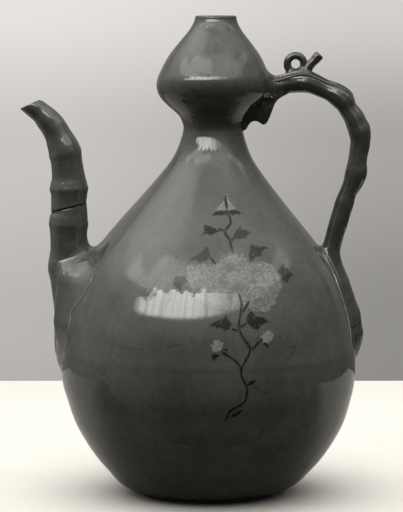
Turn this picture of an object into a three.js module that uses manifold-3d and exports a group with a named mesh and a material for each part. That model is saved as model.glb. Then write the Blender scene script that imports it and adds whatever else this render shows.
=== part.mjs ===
// A celadon wine ewer: a gourd-shaped vessel of two bulbs, a bamboo-like spout that was broken and
// put back, a branch handle with a cord ring, and a peony spray inlaid in the front in white and
// dark slip. Millimetres, +Z up. The origin is on the table, under the middle of the foot. The
// handle is on +X, the spout on -X, and the inlaid front looks along -Y.

import * as THREE from 'three';
import { mergeVertices } from 'three/addons/utils/BufferGeometryUtils.js';
import Module from 'manifold-3d';

const wasm = await Module();
wasm.setup();

// Fits shared by every piece
const fitGap = 0.3; // left between two pieces where one is cut to sit on the other
const overrun = 20; // how far a cutting shape runs past what it cuts
const weldDistance = 0.0001;

// Vessel, outside
const ewerHeight = 340;
const footRadius = 48.5;
const footHeight = 2.4;
const footFlare = 1; // the foot ring spreads this much towards its top
const footRimWidth = 5;
const footHollow = 1.8; // the underside is set this deep inside the foot ring
const bellyRadius = 105;
const waistRadius = 21.4;
const bulbRadius = 39.9;
const mouthRadius = 13.3;

// Heights of the belly's and the upper bulb's widest lines and of the waist
const bellyHeightShare = 0.2647;
const waistHeightShare = 0.7618;
const bulbHeightShare = 0.8559;
const bellyHeight = bellyHeightShare * ewerHeight;
const waistHeight = waistHeightShare * ewerHeight;
const bulbHeight = bulbHeightShare * ewerHeight;

// Vessel, inside
const bodyWall = 6;
const bulbWall = 4.5;
const floorThickness = 8;
const mouthBore = 19.8;

// The neck leans a little towards the handle, from a bend in the shoulder upwards
const leanDegrees = 2.1;
const leanStartDrop = 89; // below the waist
const leanStartHeight = waistHeight - leanStartDrop;
const leanBendLength = 50;

// Outline of the vessel between its named sizes: share of the rise, share of the change of radius
const lowerBellyShares = [
  [0.018, 0.11], [0.047, 0.21], [0.087, 0.29], [0.155, 0.39], [0.27, 0.55],
  [0.41, 0.7], [0.57, 0.835], [0.75, 0.935], [1, 1],
];
const shoulderShares = [
  [0.096, 0.01], [0.204, 0.047], [0.311, 0.108], [0.42, 0.195], [0.527, 0.331], [0.635, 0.508],
  [0.731, 0.672], [0.814, 0.81], [0.886, 0.914], [0.946, 0.968], [1, 1],
];
const bulbUndersideShares = [[0.16, 0.02], [0.344, 0.12], [0.53, 0.41], [0.75, 0.81], [1, 1]];
const bulbTopShares = [
  [0.11, 0.026], [0.224, 0.105], [0.337, 0.2], [0.449, 0.32], [0.561, 0.47],
  [0.673, 0.632], [0.776, 0.778], [0.878, 0.891], [0.967, 0.95], [1, 1],
];

// Hole in the body wall under the spout
const spoutHoleDiameter = 14;
const spoutHoleRise = 56; // above the belly's widest line
const spoutHoleHeight = bellyHeight + spoutHoleRise;

// Spout, along its centreline
const spoutFootRise = 7; // above the belly's widest line
const spoutFootHeight = bellyHeight + spoutFootRise;
const spoutInset = 5.2; // its upright run lies this far inside the belly's radius
const spoutStandoff = bellyRadius - spoutInset;
const spoutMouthReach = 126.3;
const spoutMouthHeight = 277.6;
const spoutRadius = 13;
const spoutWall = 3.2;
const spoutMouthDegrees = 25; // the mouth is cut at this slope, up towards the vessel
const spoutBreakHeight = 204.6;
const spoutBreakDegrees = 15; // the old break rises towards the vessel
const spoutBoreStart = 3; // the bore starts at this station

// Stations of the spout: share of the rise, share of the standoff, share of the bend outwards,
// share of the radius. Its swellings are like the joints of a bamboo stem.
const spoutShares = [
  [0, 0.934, 0, 0.88], [0.033, 0.938, 0, 1.03], [0.1, 0.955, 0, 1.05], [0.18, 0.974, 0, 0.955],
  [0.26, 0.994, 0, 0.945], [0.305, 1, 0, 0.99], [0.358, 1.006, 0, 1.09], [0.393, 1.001, 0, 1.03],
  [0.426, 0.996, 0, 1.015], [0.465, 0.997, 0, 1], [0.501, 0.997, 0, 1.03], [0.536, 0.996, 0, 1.095],
  [0.57, 0.993, 0, 1.02], [0.615, 0.994, 0, 0.985], [0.673, 0.992, 0, 1.06], [0.714, 0.995, 0, 0.92],
  [0.77, 1, 0.026, 0.88], [0.814, 1, 0.08, 0.91], [0.848, 1, 0.166, 0.835], [0.881, 1, 0.26, 0.735],
  [0.912, 1, 0.381, 0.7], [0.94, 1, 0.536, 0.68], [0.965, 1, 0.71, 0.595], [0.988, 1, 0.902, 0.573],
  [1.03, 1, 1.215, 0.555],
];

// Handle, along its centreline
const handleOverhang = 2.5; // past the belly's radius
const handleReach = bellyRadius + handleOverhang;
const handleCrownRise = 2.8; // above the upper bulb's widest line
const handleCrownHeight = bulbHeight + handleCrownRise;
const handleLandingRise = 82.5; // above the belly's widest line, as is the tail's
const handleLandingHeight = bellyHeight + handleLandingRise;
const handleTailRise = 32.4;
const handleTailHeight = bellyHeight + handleTailRise;
const handleHalfWidth = 7.5; // seen from the front
const handleHalfDepth = 8; // seen from the side
const handleBulbShare = 0.62; // its hidden end lies at this share of the bulb's radius

// Free stations: share of the way out, share of the rise from the landing to the crown, share of
// the half width. The swellings are the knots of the branch.
const handleShares = [
  [0, 0.96, 1.13], [0.2, 0.96, 1.19], [0.3, 0.977, 0.95], [0.408, 0.992, 1.02], [0.49, 0.996, 1.09],
  [0.568, 0.983, 0.99], [0.67, 0.954, 0.88], [0.764, 0.926, 1], [0.845, 0.887, 1.08],
  [0.886, 0.84, 0.93], [0.937, 0.793, 1.02], [0.971, 0.744, 1.05], [0.995, 0.706, 1.12],
  [1, 0.646, 1], [0.989, 0.587, 0.93], [0.975, 0.528, 0.96], [0.966, 0.469, 1.07],
  [0.941, 0.411, 1.01], [0.899, 0.353, 0.89], [0.865, 0.293, 0.93], [0.837, 0.234, 0.93],
  [0.812, 0.176, 0.95], [0.787, 0.118, 0.92], [0.763, 0.059, 0.87], [0.749, 0, 0.85],
];
// Stations that lie along the vessel: share of the drop from the landing to the tail, how far the
// centreline stands off the vessel as a share of the handle's width, share of the half width
const handleTailShares = [
  [0.16, 0.17, 0.86], [0.31, 0.08, 0.88], [0.46, 0.05, 0.95], [0.59, 0.03, 0.95],
  [0.74, 0.02, 0.98], [0.89, 0.05, 1.08], [1, 0.03, 1.05],
];

// Leaf sheath that ends the handle on the belly: share of its length, standoff and half width
const sheathLength = 26;
const sheathShares = [
  [0.02, 0, 0.93], [0.3, -0.03, 0.95], [0.58, -0.1, 1.1], [0.84, -0.2, 0.95], [1, -0.35, 0.7],
];

// Leaf under the bulb, where the handle starts: it hangs from the branch to the neck
const bulbLeafThickness = 10;
const bulbLeafRounding = 2.2;
const bulbLeafDrop = 30; // its tip, below the handle's crown
const bulbLeafReach = 46; // its outer edge, from the vessel's axis
// Outline: share of the reach, share of the drop from the crown to the tip
const bulbLeafShares = [
  [0.35, 0.2], [0.98, 0.2], [0.99, 0.44], [0.965, 0.56], [0.94, 0.76], [0.9, 0.945], [0.857, 1],
  [0.81, 0.963], [0.76, 0.925], [0.693, 0.905], [0.63, 0.93], [0.58, 1.02], [0.55, 1.15], [0.35, 1.1],
];

// Ring for the lid's cord, and the cut twig behind it
const ringStation = 3.15; // along the handle's free stations
const ringHoleDiameter = 6.4;
const ringThickness = 5.4;
const ringLift = 5.2; // its middle, above the top of the branch
const twigStation = 2.8;
const twigLength = 27;
const twigDiameter = 6.4;
const twigDegrees = 47;

// Inlaid spray
const inlayDepth = 0.8;

// The spray is one drawing: its sizes are shares of its height
const sprayFootShare = 0.2015;
const sprayHeightShare = 0.4265;
const sprayFootHeight = sprayFootShare * ewerHeight;
const sprayHeight = sprayHeightShare * ewerHeight;
const stemWidthShare = 0.01035;
const petalGapShare = 0.00965;
const peonyReachShare = 0.2345;
const peonyHeartShare = 0.0386;
const smallBlossomShare = 0.0297;
const leafLengthShare = 0.0966;
const leafWidthShare = 0.069;
const stemWidth = stemWidthShare * sprayHeight;
const petalGap = petalGapShare * sprayHeight;
const peonyReach = peonyReachShare * sprayHeight;
const peonyHeartRadius = peonyHeartShare * sprayHeight;
const smallBlossomRadius = smallBlossomShare * sprayHeight;
const leafLength = leafLengthShare * sprayHeight;
const leafWidth = leafWidthShare * sprayHeight;

// Its places are shares of its height too, measured from the axis and from its foot
const peonyPlaceShares = [0.117, 0.631];
// Petals: where each starts and ends round the blossom, in degrees, and the share of the reach at
// evenly spaced places along its edge
const petalShares = [
  { from: -22, to: 16, reachShares: [0.92, 0.98, 0.9, 0.87] },
  { from: 16, to: 45, reachShares: [0.87, 0.66, 0.5] },
  { from: 58, to: 119, reachShares: [0.54, 0.57, 0.56, 0.54] },
  { from: 119, to: 158, reachShares: [0.54, 0.58, 0.66] },
  { from: 158, to: 206, reachShares: [1, 0.93, 0.87, 0.88] },
  { from: 206, to: 258, reachShares: [0.78, 0.67, 0.62, 0.59] },
  { from: 308, to: 338, reachShares: [0.64, 0.9, 0.98] },
];
const budShares = [
  [0.038, 0.956], [0.058, 0.975], [0.086, 1], [0.108, 0.981], [0.119, 0.955], [0.1, 0.947],
  [0.078, 0.957], [0.055, 0.947],
];
const sepalShares = [
  [0.013, 0.932], [0.048, 0.939], [0.085, 0.936], [0.123, 0.942], [0.157, 0.937], [0.123, 0.928],
  [0.092, 0.924], [0.048, 0.928],
];
const upperStemShares = [
  [0.092, 0.914], [0.103, 0.899], [0.088, 0.872], [0.077, 0.858], [0.085, 0.837], [0.103, 0.815],
  [0.108, 0.782],
];
const upperTwigShares = [[0.078, 0.858], [0.062, 0.861]];
const lowerStemShares = [
  [0.139, 0.564], [0.153, 0.524], [0.146, 0.466], [0.139, 0.431], [0.149, 0.394], [0.186, 0.342],
  [0.19, 0.32], [0.16, 0.263], [0.145, 0.234], [0.152, 0.197], [0.175, 0.159], [0.175, 0.114],
  [0.164, 0.079], [0.127, 0.061], [0.097, 0.039], [0.09, 0.016], [0.075, 0.001],
];
const lowerTwigShares = [
  [[0.179, 0.523], [0.148, 0.477]],
  [[0.143, 0.416], [0.118, 0.424]],
  [[0.14, 0.427], [0.168, 0.444]],
  [[0.19, 0.324], [0.216, 0.341], [0.229, 0.355]],
  [[0.155, 0.252], [0.112, 0.294], [0.083, 0.316]],
];
const smallBlossomShares = {
  small_blossom_left: [0.038, 0.346],
  small_blossom_right: [0.272, 0.379],
};
// Leaves: foot across and up, as shares of the spray, then the turn in degrees and the shares of
// the leaf's length and width
const lobedLeafShares = {
  leaf_bud: [0.05, 0.862, 185, 1, 0.85],
  leaf_top_right: [0.122, 0.83, 8, 0.98, 0.8],
  leaf_right: [0.2, 0.762, 2, 1.02, 0.85],
  leaf_left: [0.002, 0.76, 198, 1, 0.65],
  leaf_far_right: [0.345, 0.675, -14, 0.87, 1],
  leaf_far_left: [-0.112, 0.642, 222, 0.8, 0.75],
  leaf_pair_left: [0.106, 0.432, 181, 0.95, 1],
  leaf_pair_right: [0.178, 0.448, -6, 1.12, 0.9],
};
const pointedLeafShares = {
  leaf_low_right: [0.186, 0.166, 32, 0.58, 0.36],
  leaf_root: [0.113, 0.036, 12, 0.5, 0.4],
  leaf_small: [0.061, 0.304, 208, 0.5, 0.38],
};
// Outline of one leaf: share of its length, share of its width
const lobedOutlineShares = [
  [0, 0], [0.1, 0.28], [0.28, 0.5], [0.45, 0.24], [0.75, 0.2], [1, 0.04], [0.74, -0.12],
  [0.52, -0.2], [0.42, -0.5], [0.18, -0.28],
];
const pointedOutlineShares = [[0, 0], [0.3, 0.5], [0.65, 0.4], [1, 0], [0.6, -0.35], [0.25, -0.45]];

// Mesh fineness, in counts
const vesselSides = 48;
const spoutSides = 16;
const handleSides = 14;
const ringTurns = 24;
const ringSides = 10;
const twigSides = 14;
const holeSides = 20;
const petalSteps = 8;
const blossomPetals = 5;
const blossomSteps = 20;
const scallopShare = 0.06; // depth of the scallops on a petal's edge

const materials = {
  celadon: makeMaterial(0x7d8472, 0.22),
  celadonHandle: makeMaterial(0x6f7666, 0.25),
  whiteSlip: makeMaterial(0xc4c5b4, 0.3),
  darkSlip: makeMaterial(0x2c2a25, 0.3),
};

function makeMaterial(color, roughness) {
  return new THREE.MeshStandardMaterial({ color, roughness, metalness: 0 });
}

// Turns a closed geometry into a solid: shared points merged, flat triangles dropped, faces out
function solidFrom(geometry) {
  geometry.deleteAttribute('normal');
  geometry.deleteAttribute('uv');
  const merged = mergeVertices(geometry, weldDistance);
  const points = merged.attributes.position.array;
  const corners = merged.index.array;
  const triangles = [];
  let volume = 0;
  for (let i = 0; i < corners.length; i += 3) {
    const [a, b, c] = [corners[i], corners[i + 1], corners[i + 2]];
    if (a === b || b === c || c === a) continue;
    triangles.push(a, b, c);
    const [pa, pb, pc] = [a, b, c].map((corner) => new THREE.Vector3().fromArray(points, 3 * corner));
    volume += pa.dot(pb.cross(pc));
  }
  if (volume < 0) triangles.reverse();
  return new wasm.Manifold(new wasm.Mesh({
    numProp: 3,
    vertProperties: new Float32Array(points),
    triVerts: new Uint32Array(triangles),
  }));
}

function addPiece(group, name, solid, material) {
  const mesh = solid.getMesh();
  const geometry = new THREE.BufferGeometry();
  geometry.setAttribute('position', new THREE.BufferAttribute(new Float32Array(mesh.vertProperties), 3));
  geometry.setIndex(new THREE.BufferAttribute(new Uint32Array(mesh.triVerts), 1));
  geometry.computeVertexNormals();
  const piece = new THREE.Mesh(geometry, material);
  piece.name = name;
  group.add(piece);
}

function mix(low, high, share) {
  return low + share * (high - low);
}

// Vessel outline: rows of height, radius and slope, from the table to the rim
function vesselRows() {
  const footTop = footRadius + footFlare;
  const rows = [{ z: 0, r: footRadius }, { z: footHeight, r: footTop }];
  const run = (shares, lowHeight, highHeight, lowRadius, highRadius) => {
    for (const [rise, change] of shares) {
      rows.push({ z: mix(lowHeight, highHeight, rise), r: mix(lowRadius, highRadius, change) });
    }
  };
  run(lowerBellyShares, footHeight, bellyHeight, footTop, bellyRadius);
  run(shoulderShares, bellyHeight, waistHeight, bellyRadius, waistRadius);
  run(bulbUndersideShares, waistHeight, bulbHeight, waistRadius, bulbRadius);
  run(bulbTopShares, bulbHeight, ewerHeight, bulbRadius, mouthRadius);
  rows.forEach((row, i) => {
    const below = rows[Math.max(i - 1, 0)];
    const above = rows[Math.min(i + 1, rows.length - 1)];
    row.slope = (above.r - below.r) / (above.z - below.z);
  });
  return rows;
}

// Radius of a row moved square to the surface, outwards or, with a negative distance, inwards
function movedRadius(row, distance) {
  return row.r + distance * Math.hypot(1, row.slope);
}

function vesselRadiusAt(height) {
  const above = Math.max(1, outline.findIndex((row) => row.z >= height));
  const [low, high] = [outline[above - 1], outline[above]];
  return mix(low.r, high.r, (height - low.z) / (high.z - low.z));
}

// How far the vessel's axis has moved towards the handle at a height
function leanAt(height) {
  const climb = Math.max(height - leanStartHeight, 0);
  const bent = Math.min(climb, leanBendLength);
  const slope = Math.tan(THREE.MathUtils.degToRad(leanDegrees));
  return slope * (bent * bent / (2 * leanBendLength) + (climb - bent));
}

// A turned solid from pairs of radius and height, with the neck's lean
function turnedSolid(profile) {
  const geometry = new THREE.LatheGeometry(profile.map(([r, z]) => new THREE.Vector2(r, z)), vesselSides);
  geometry.rotateX(Math.PI / 2);
  const position = geometry.attributes.position;
  for (let i = 0; i < position.count; i++) {
    position.setX(i, position.getX(i) + leanAt(position.getZ(i)));
  }
  return solidFrom(geometry);
}

// The vessel's outer form as one full solid, grown or shrunk square to its surface
function vesselForm(distance) {
  const sides = outline.map((row) => [movedRadius(row, distance), row.z]);
  return turnedSolid([[0, 0], ...sides, [0, ewerHeight]]);
}

// The wall thins from the waist to the upper bulb
function wallAt(height) {
  const share = THREE.MathUtils.clamp((height - waistHeight) / (bulbHeight - waistHeight), 0, 1);
  return mix(bodyWall, bulbWall, share);
}

function innerRadius(row) {
  return Math.max(movedRadius(row, -wallAt(row.z)), mouthBore / 2);
}

function makeLowerBulb() {
  const below = outline.filter((row) => row.z <= waistHeight);
  const rimInside = footRadius - footRimWidth;
  const body = turnedSolid([
    [0, footHollow], [rimInside, footHollow], [rimInside, 0],
    ...below.map((row) => [row.r, row.z]),
    [0, waistHeight],
  ]);
  const inside = below.filter((row) => row.z >= 1.5 * floorThickness);
  const neck = innerRadius(inside[inside.length - 1]);
  const cavity = turnedSolid([
    [0, floorThickness], [innerRadius(inside[0]) - floorThickness, floorThickness],
    ...inside.map((row) => [innerRadius(row), row.z]),
    [neck, waistHeight + overrun], [0, waistHeight + overrun],
  ]);
  return body.subtract(cavity).subtract(spoutHole());
}

function spoutHole() {
  const outside = vesselRadiusAt(spoutHoleHeight) + bodyWall;
  const length = 3 * bodyWall;
  const radius = spoutHoleDiameter / 2;
  const geometry = new THREE.CylinderGeometry(radius, radius, length, holeSides);
  geometry.rotateZ(Math.PI / 2);
  geometry.translate(length / 2 - outside, 0, spoutHoleHeight);
  return solidFrom(geometry);
}

function makeUpperBulb() {
  const rows = outline.filter((row) => row.z >= waistHeight);
  const outer = rows.map((row) => [row.r, row.z]);
  const inner = rows.map((row) => [innerRadius(row), row.z]).reverse();
  return turnedSolid([...outer, ...inner, outer[0]]);
}

// A closed solid through rings of points, with a cap at each end
function loftSolid(rings) {
  const sides = rings[0].length;
  const points = rings.flat();
  const faces = [];
  for (let i = 0; i + 1 < rings.length; i++) {
    for (let j = 0; j < sides; j++) {
      const [a, b] = [i * sides + j, i * sides + (j + 1) % sides];
      faces.push(a, b, b + sides, a, b + sides, a + sides);
    }
  }
  const last = (rings.length - 1) * sides;
  for (let j = 1; j + 1 < sides; j++) {
    faces.push(0, j + 1, j, last, last + j, last + j + 1);
  }
  const geometry = new THREE.BufferGeometry().setFromPoints(points);
  geometry.setIndex(faces);
  return solidFrom(geometry);
}

// Rings square to a run of stations in the plane y = 0. A station has x, z, half (its half width in
// that plane) and depth (its half depth along y); growth makes the form thicker and longer.
function stationRings(stations, sides, growth) {
  return stations.map((station, i) => {
    const before = stations[Math.max(i - 1, 0)];
    const after = stations[Math.min(i + 1, stations.length - 1)];
    const along = new THREE.Vector3(after.x - before.x, 0, after.z - before.z).normalize();
    const across = new THREE.Vector3(along.z, 0, -along.x);
    const end = i === 0 ? -growth : i === stations.length - 1 ? growth : 0;
    const centre = new THREE.Vector3(station.x, 0, station.z).addScaledVector(along, end);
    return Array.from({ length: sides }, (_, j) => {
      const turn = 2 * Math.PI * j / sides;
      const point = centre.clone().addScaledVector(across, (station.half + growth) * Math.cos(turn));
      point.y = (station.depth + growth) * Math.sin(turn);
      return point;
    });
  });
}

function spoutStations() {
  return spoutShares.map(([rise, stand, bend, girth]) => ({
    x: -(spoutStandoff * stand + (spoutMouthReach - spoutStandoff) * bend),
    z: mix(spoutFootHeight, spoutMouthHeight, rise),
    half: spoutRadius * girth,
    depth: spoutRadius * girth,
  }));
}

// A block that fills one side of a plane through (x, 0, z) which slopes by degrees towards +X:
// the side above it, or below it
function slopingBlock(x, z, degrees, above) {
  const size = 2 * spoutMouthHeight;
  const geometry = new THREE.BoxGeometry(size, size, size);
  geometry.translate(0, 0, above ? size / 2 : -size / 2);
  geometry.rotateY(-THREE.MathUtils.degToRad(degrees));
  geometry.translate(x, 0, z);
  return solidFrom(geometry);
}

// The whole spout: bored, cut at its mouth and cut to the vessel
function makeSpout() {
  const stations = spoutStations();
  const bore = stations.slice(spoutBoreStart);
  const mouth = slopingBlock(-spoutMouthReach, spoutMouthHeight, spoutMouthDegrees, true);
  return loftSolid(stationRings(stations, spoutSides, 0))
    .subtract(loftSolid(stationRings(bore, spoutSides, -spoutWall)).add(boreEnd(bore)))
    .subtract(mouth)
    .subtract(vesselForm(fitGap));
}

// The bore shrinks square to its run, so its open end is made up past the mouth
function boreEnd(bore) {
  const [low, high] = bore.slice(-2);
  const end = { ...high, x: mix(low.x, high.x, 2), z: mix(low.z, high.z, 2) };
  return loftSolid(stationRings([low, high, end], spoutSides, -spoutWall));
}

function handleStations() {
  const start = leanAt(bulbHeight) + handleBulbShare * bulbRadius;
  const free = handleShares.map(([out, rise, girth]) => ({
    x: mix(start, handleReach, out),
    z: mix(handleLandingHeight, handleCrownHeight, rise),
    half: handleHalfWidth * girth,
    depth: handleHalfDepth * girth,
  }));
  const tail = handleTailShares.map(([drop, standoff, girth]) => {
    const z = mix(handleLandingHeight, handleTailHeight, drop);
    return {
      x: vesselRadiusAt(z) + leanAt(z) + 2 * handleHalfWidth * standoff,
      z,
      half: handleHalfWidth * girth,
      depth: handleHalfDepth * girth,
    };
  });
  return [...free, ...tail];
}

// A place part of the way between two stations of the handle
function handleAt(station) {
  const stations = handleStations();
  const [low, high] = [stations[Math.floor(station)], stations[Math.ceil(station)]];
  const share = station - Math.floor(station);
  return {
    x: mix(low.x, high.x, share),
    z: mix(low.z, high.z, share),
    half: mix(low.half, high.half, share),
  };
}

function branchForm(growth) {
  return loftSolid(stationRings(handleStations(), handleSides, growth));
}

function makeSheath() {
  const stations = sheathShares.map(([drop, standoff, girth]) => {
    const z = handleTailHeight - sheathLength * drop;
    return {
      x: vesselRadiusAt(z) + 2 * handleHalfWidth * standoff,
      z,
      half: handleHalfWidth * girth,
      depth: handleHalfDepth * girth,
    };
  });
  return loftSolid(stationRings(stations, handleSides, 0));
}

function makeBulbLeaf() {
  const points = bulbLeafShares.map(([reach, drop]) => new THREE.Vector2(
    reach * bulbLeafReach,
    handleCrownHeight - drop * bulbLeafDrop,
  ));
  const geometry = new THREE.ExtrudeGeometry(new THREE.Shape(points), {
    depth: bulbLeafThickness - 2 * bulbLeafRounding,
    bevelThickness: bulbLeafRounding,
    bevelSize: bulbLeafRounding / 2,
    bevelOffset: -bulbLeafRounding / 2,
    bevelSegments: 2,
  });
  geometry.translate(0, 0, bulbLeafRounding - bulbLeafThickness / 2);
  geometry.rotateX(Math.PI / 2);
  return solidFrom(geometry);
}

function ringCentre() {
  const seat = handleAt(ringStation);
  return [seat.x, 0, seat.z + seat.half + ringLift];
}

function makeRing() {
  const tube = ringThickness / 2;
  const geometry = new THREE.TorusGeometry(ringHoleDiameter / 2 + tube, tube, ringSides, ringTurns);
  geometry.rotateX(Math.PI / 2);
  geometry.translate(...ringCentre());
  return solidFrom(geometry);
}

// A full disc round the ring, which the twig is cut back to
function ringDisc() {
  const radius = ringHoleDiameter / 2 + ringThickness + fitGap;
  const geometry = new THREE.CylinderGeometry(radius, radius, overrun, ringTurns);
  geometry.translate(...ringCentre());
  return solidFrom(geometry);
}

function makeTwig() {
  const start = handleAt(twigStation);
  const radius = twigDiameter / 2;
  const geometry = new THREE.CylinderGeometry(radius, radius, twigLength, twigSides);
  geometry.translate(0, twigLength / 2, 0);
  geometry.rotateX(Math.PI / 2);
  geometry.rotateY(THREE.MathUtils.degToRad(90 - twigDegrees));
  geometry.translate(start.x, 0, start.z);
  return solidFrom(geometry);
}

// Inlays: flat outlines in x and z, pushed through the front of the vessel along y

function sprayPoint([across, up]) {
  return new THREE.Vector2(across * sprayHeight, sprayFootHeight + up * sprayHeight);
}

// Moves an outline's edges outwards, or inwards with a negative distance
function grownOutline(points, distance) {
  const outwards = THREE.ShapeUtils.isClockWise(points) ? -distance : distance;
  return points.map((point, i) => {
    const before = points[(i + points.length - 1) % points.length];
    const after = points[(i + 1) % points.length];
    return cornerPoint(before, point, after, outwards);
  });
}

// The corner of two edges moved to their right by a distance, blunted where it is sharp
function cornerPoint(before, point, after, distance) {
  const first = point.clone().sub(before).normalize();
  const second = after.clone().sub(point).normalize();
  const bisector = new THREE.Vector2(first.y + second.y, -first.x - second.x).normalize();
  const cosine = bisector.x * second.y - bisector.y * second.x;
  return point.clone().addScaledVector(bisector, distance / Math.max(cosine, 0.5));
}

// A strip of even width along a line, lengthened at both ends by growth
function stripOutline(line, growth) {
  const half = stemWidth / 2 + growth;
  const sides = [half, -half].map((offset) => line.map((point, i) => {
    const before = line[i - 1] ?? point.clone().multiplyScalar(2).sub(line[i + 1]);
    const after = line[i + 1] ?? point.clone().multiplyScalar(2).sub(line[i - 1]);
    return cornerPoint(before, point, after, offset);
  }));
  const endwards = (end, next) => end.clone().sub(next).setLength(growth);
  for (const side of sides) {
    if (growth > 0) {
      side[0].add(endwards(line[0], line[1]));
      side[side.length - 1].add(endwards(line[line.length - 1], line[line.length - 2]));
    }
  }
  return [...sides[0], ...sides[1].reverse()];
}

// A prism of an outline, from the vessel's middle plane out through its front
function frontPrism(points) {
  const geometry = new THREE.ExtrudeGeometry(new THREE.Shape(points), {
    depth: bellyRadius + overrun,
    bevelEnabled: false,
  });
  geometry.rotateX(Math.PI / 2);
  return solidFrom(geometry);
}

// A place on the peony, from its middle, by turn in degrees and distance
function peonyPoint(degrees, distance) {
  const turn = THREE.MathUtils.degToRad(degrees);
  const step = new THREE.Vector2(Math.cos(turn), Math.sin(turn)).multiplyScalar(distance);
  return sprayPoint(peonyPlaceShares).add(step);
}

function petalOutline({ from, to, reachShares }) {
  const steps = Array.from({ length: petalSteps + 1 }, (_, i) => i / petalSteps);
  const edge = steps.map((share, i) => {
    const place = share * (reachShares.length - 1);
    const low = Math.min(Math.floor(place), reachShares.length - 2);
    const reach = mix(reachShares[low], reachShares[low + 1], place - low);
    const scallop = i % 2 ? 0 : scallopShare;
    return peonyPoint(mix(from, to, share), peonyReach * (reach - scallop));
  });
  const root = peonyHeartRadius + petalGap;
  const inner = [to, mix(from, to, 0.5), from].map((degrees) => peonyPoint(degrees, root));
  return grownOutline([...edge, ...inner], -petalGap / 2);
}

function rosetteOutline(centre, radius) {
  return Array.from({ length: blossomSteps }, (_, i) => {
    const turn = 2 * Math.PI * i / blossomSteps;
    const reach = radius * (1 + scallopShare * (2 * Math.cos(blossomPetals * turn) - 1));
    return new THREE.Vector2(centre.x + reach * Math.cos(turn), centre.y + reach * Math.sin(turn));
  });
}

function leafOutline(outlineShares, [across, up, degrees, length, width]) {
  const foot = sprayPoint([across, up]);
  const turn = THREE.MathUtils.degToRad(degrees);
  return outlineShares.map(([along, aside]) => new THREE.Vector2(
    along * leafLength * length,
    aside * leafWidth * width,
  ).rotateAround(new THREE.Vector2(), turn).add(foot));
}

// Every inlay: its name, its slip, its closed outlines and the lines of its stems
function listInlays() {
  const inlays = [];
  const add = (name, material, outlines, lines = []) => inlays.push({ name, material, outlines, lines });
  const { whiteSlip, darkSlip } = materials;
  add('bud', whiteSlip, [budShares.map(sprayPoint)]);
  petalShares.forEach((petal, i) => add(`peony_petal_${i + 1}`, whiteSlip, [petalOutline(petal)]));
  add('peony_heart', whiteSlip, [rosetteOutline(sprayPoint(peonyPlaceShares), peonyHeartRadius)]);
  for (const [name, place] of Object.entries(smallBlossomShares)) {
    add(name, whiteSlip, [rosetteOutline(sprayPoint(place), smallBlossomRadius)]);
  }
  add('bud_sepals', darkSlip, [sepalShares.map(sprayPoint)]);
  add('stem_upper', darkSlip, [], [upperStemShares, upperTwigShares]);
  add('stem_lower', darkSlip, [], [lowerStemShares, ...lowerTwigShares]);
  for (const [name, place] of Object.entries(lobedLeafShares)) {
    add(name, darkSlip, [leafOutline(lobedOutlineShares, place)]);
  }
  for (const [name, place] of Object.entries(pointedLeafShares)) {
    add(name, darkSlip, [leafOutline(pointedOutlineShares, place)]);
  }
  return inlays;
}

function inlayPrism({ outlines, lines }, growth) {
  const closed = outlines.map((points) => frontPrism(grownOutline(points, growth)));
  const strips = lines.map((line) => frontPrism(stripOutline(line.map(sprayPoint), growth)));
  return joined([...closed, ...strips]);
}

function joined(solids) {
  return solids.reduce((whole, solid) => whole.add(solid));
}

function addVessel(ewer, inlays) {
  const recesses = joined(inlays.map((inlay) => inlayPrism(inlay, fitGap)));
  const carved = recesses.subtract(vesselForm(-inlayDepth - fitGap));
  addPiece(ewer, 'lower_bulb', makeLowerBulb().subtract(carved), materials.celadon);
  addPiece(ewer, 'upper_bulb', makeUpperBulb(), materials.celadon);
}

// The spout in two pieces, with a gap at the old break
function addSpout(ewer) {
  const spout = makeSpout();
  for (const [name, side] of [['spout_root', -1], ['spout_tip', 1]]) {
    const height = spoutBreakHeight + side * fitGap / 2;
    const rest = slopingBlock(-spoutStandoff, height, spoutBreakDegrees, side < 0);
    addPiece(ewer, name, spout.subtract(rest), materials.celadon);
  }
}

function addHandle(ewer) {
  const nearVessel = vesselForm(fitGap);
  const nearBranch = branchForm(fitGap);
  const pieces = {
    handle_branch: branchForm(0).subtract(nearVessel),
    handle_sheath: makeSheath().subtract(nearBranch).subtract(nearVessel),
    handle_leaf: makeBulbLeaf().subtract(nearBranch).subtract(nearVessel),
    cord_ring: makeRing().subtract(nearBranch),
    handle_twig: makeTwig().subtract(nearBranch).subtract(ringDisc()),
  };
  for (const [name, solid] of Object.entries(pieces)) {
    addPiece(ewer, name, solid, materials.celadonHandle);
  }
}

function addInlays(ewer, inlays) {
  const skin = vesselForm(0).subtract(vesselForm(-inlayDepth));
  for (const inlay of inlays) {
    addPiece(ewer, inlay.name, inlayPrism(inlay, 0).intersect(skin), inlay.material);
  }
}

function buildEwer() {
  const ewer = new THREE.Group();
  const inlays = listInlays();
  addVessel(ewer, inlays);
  addSpout(ewer);
  addHandle(ewer);
  addInlays(ewer, inlays);
  return ewer;
}

const outline = vesselRows();

export default buildEwer();
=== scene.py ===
# Celadon wine ewer: a gourd-shaped vessel with a bamboo-like spout, a branch handle and a peony
# spray inlaid in light and dark slip. Dictionaries hold millimetres and degrees unless they say
# otherwise, and Blender gets metres.
import math
import bpy
import numpy as np
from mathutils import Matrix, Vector, noise
from mathutils.geometry import delaunay_2d_cdt


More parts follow.
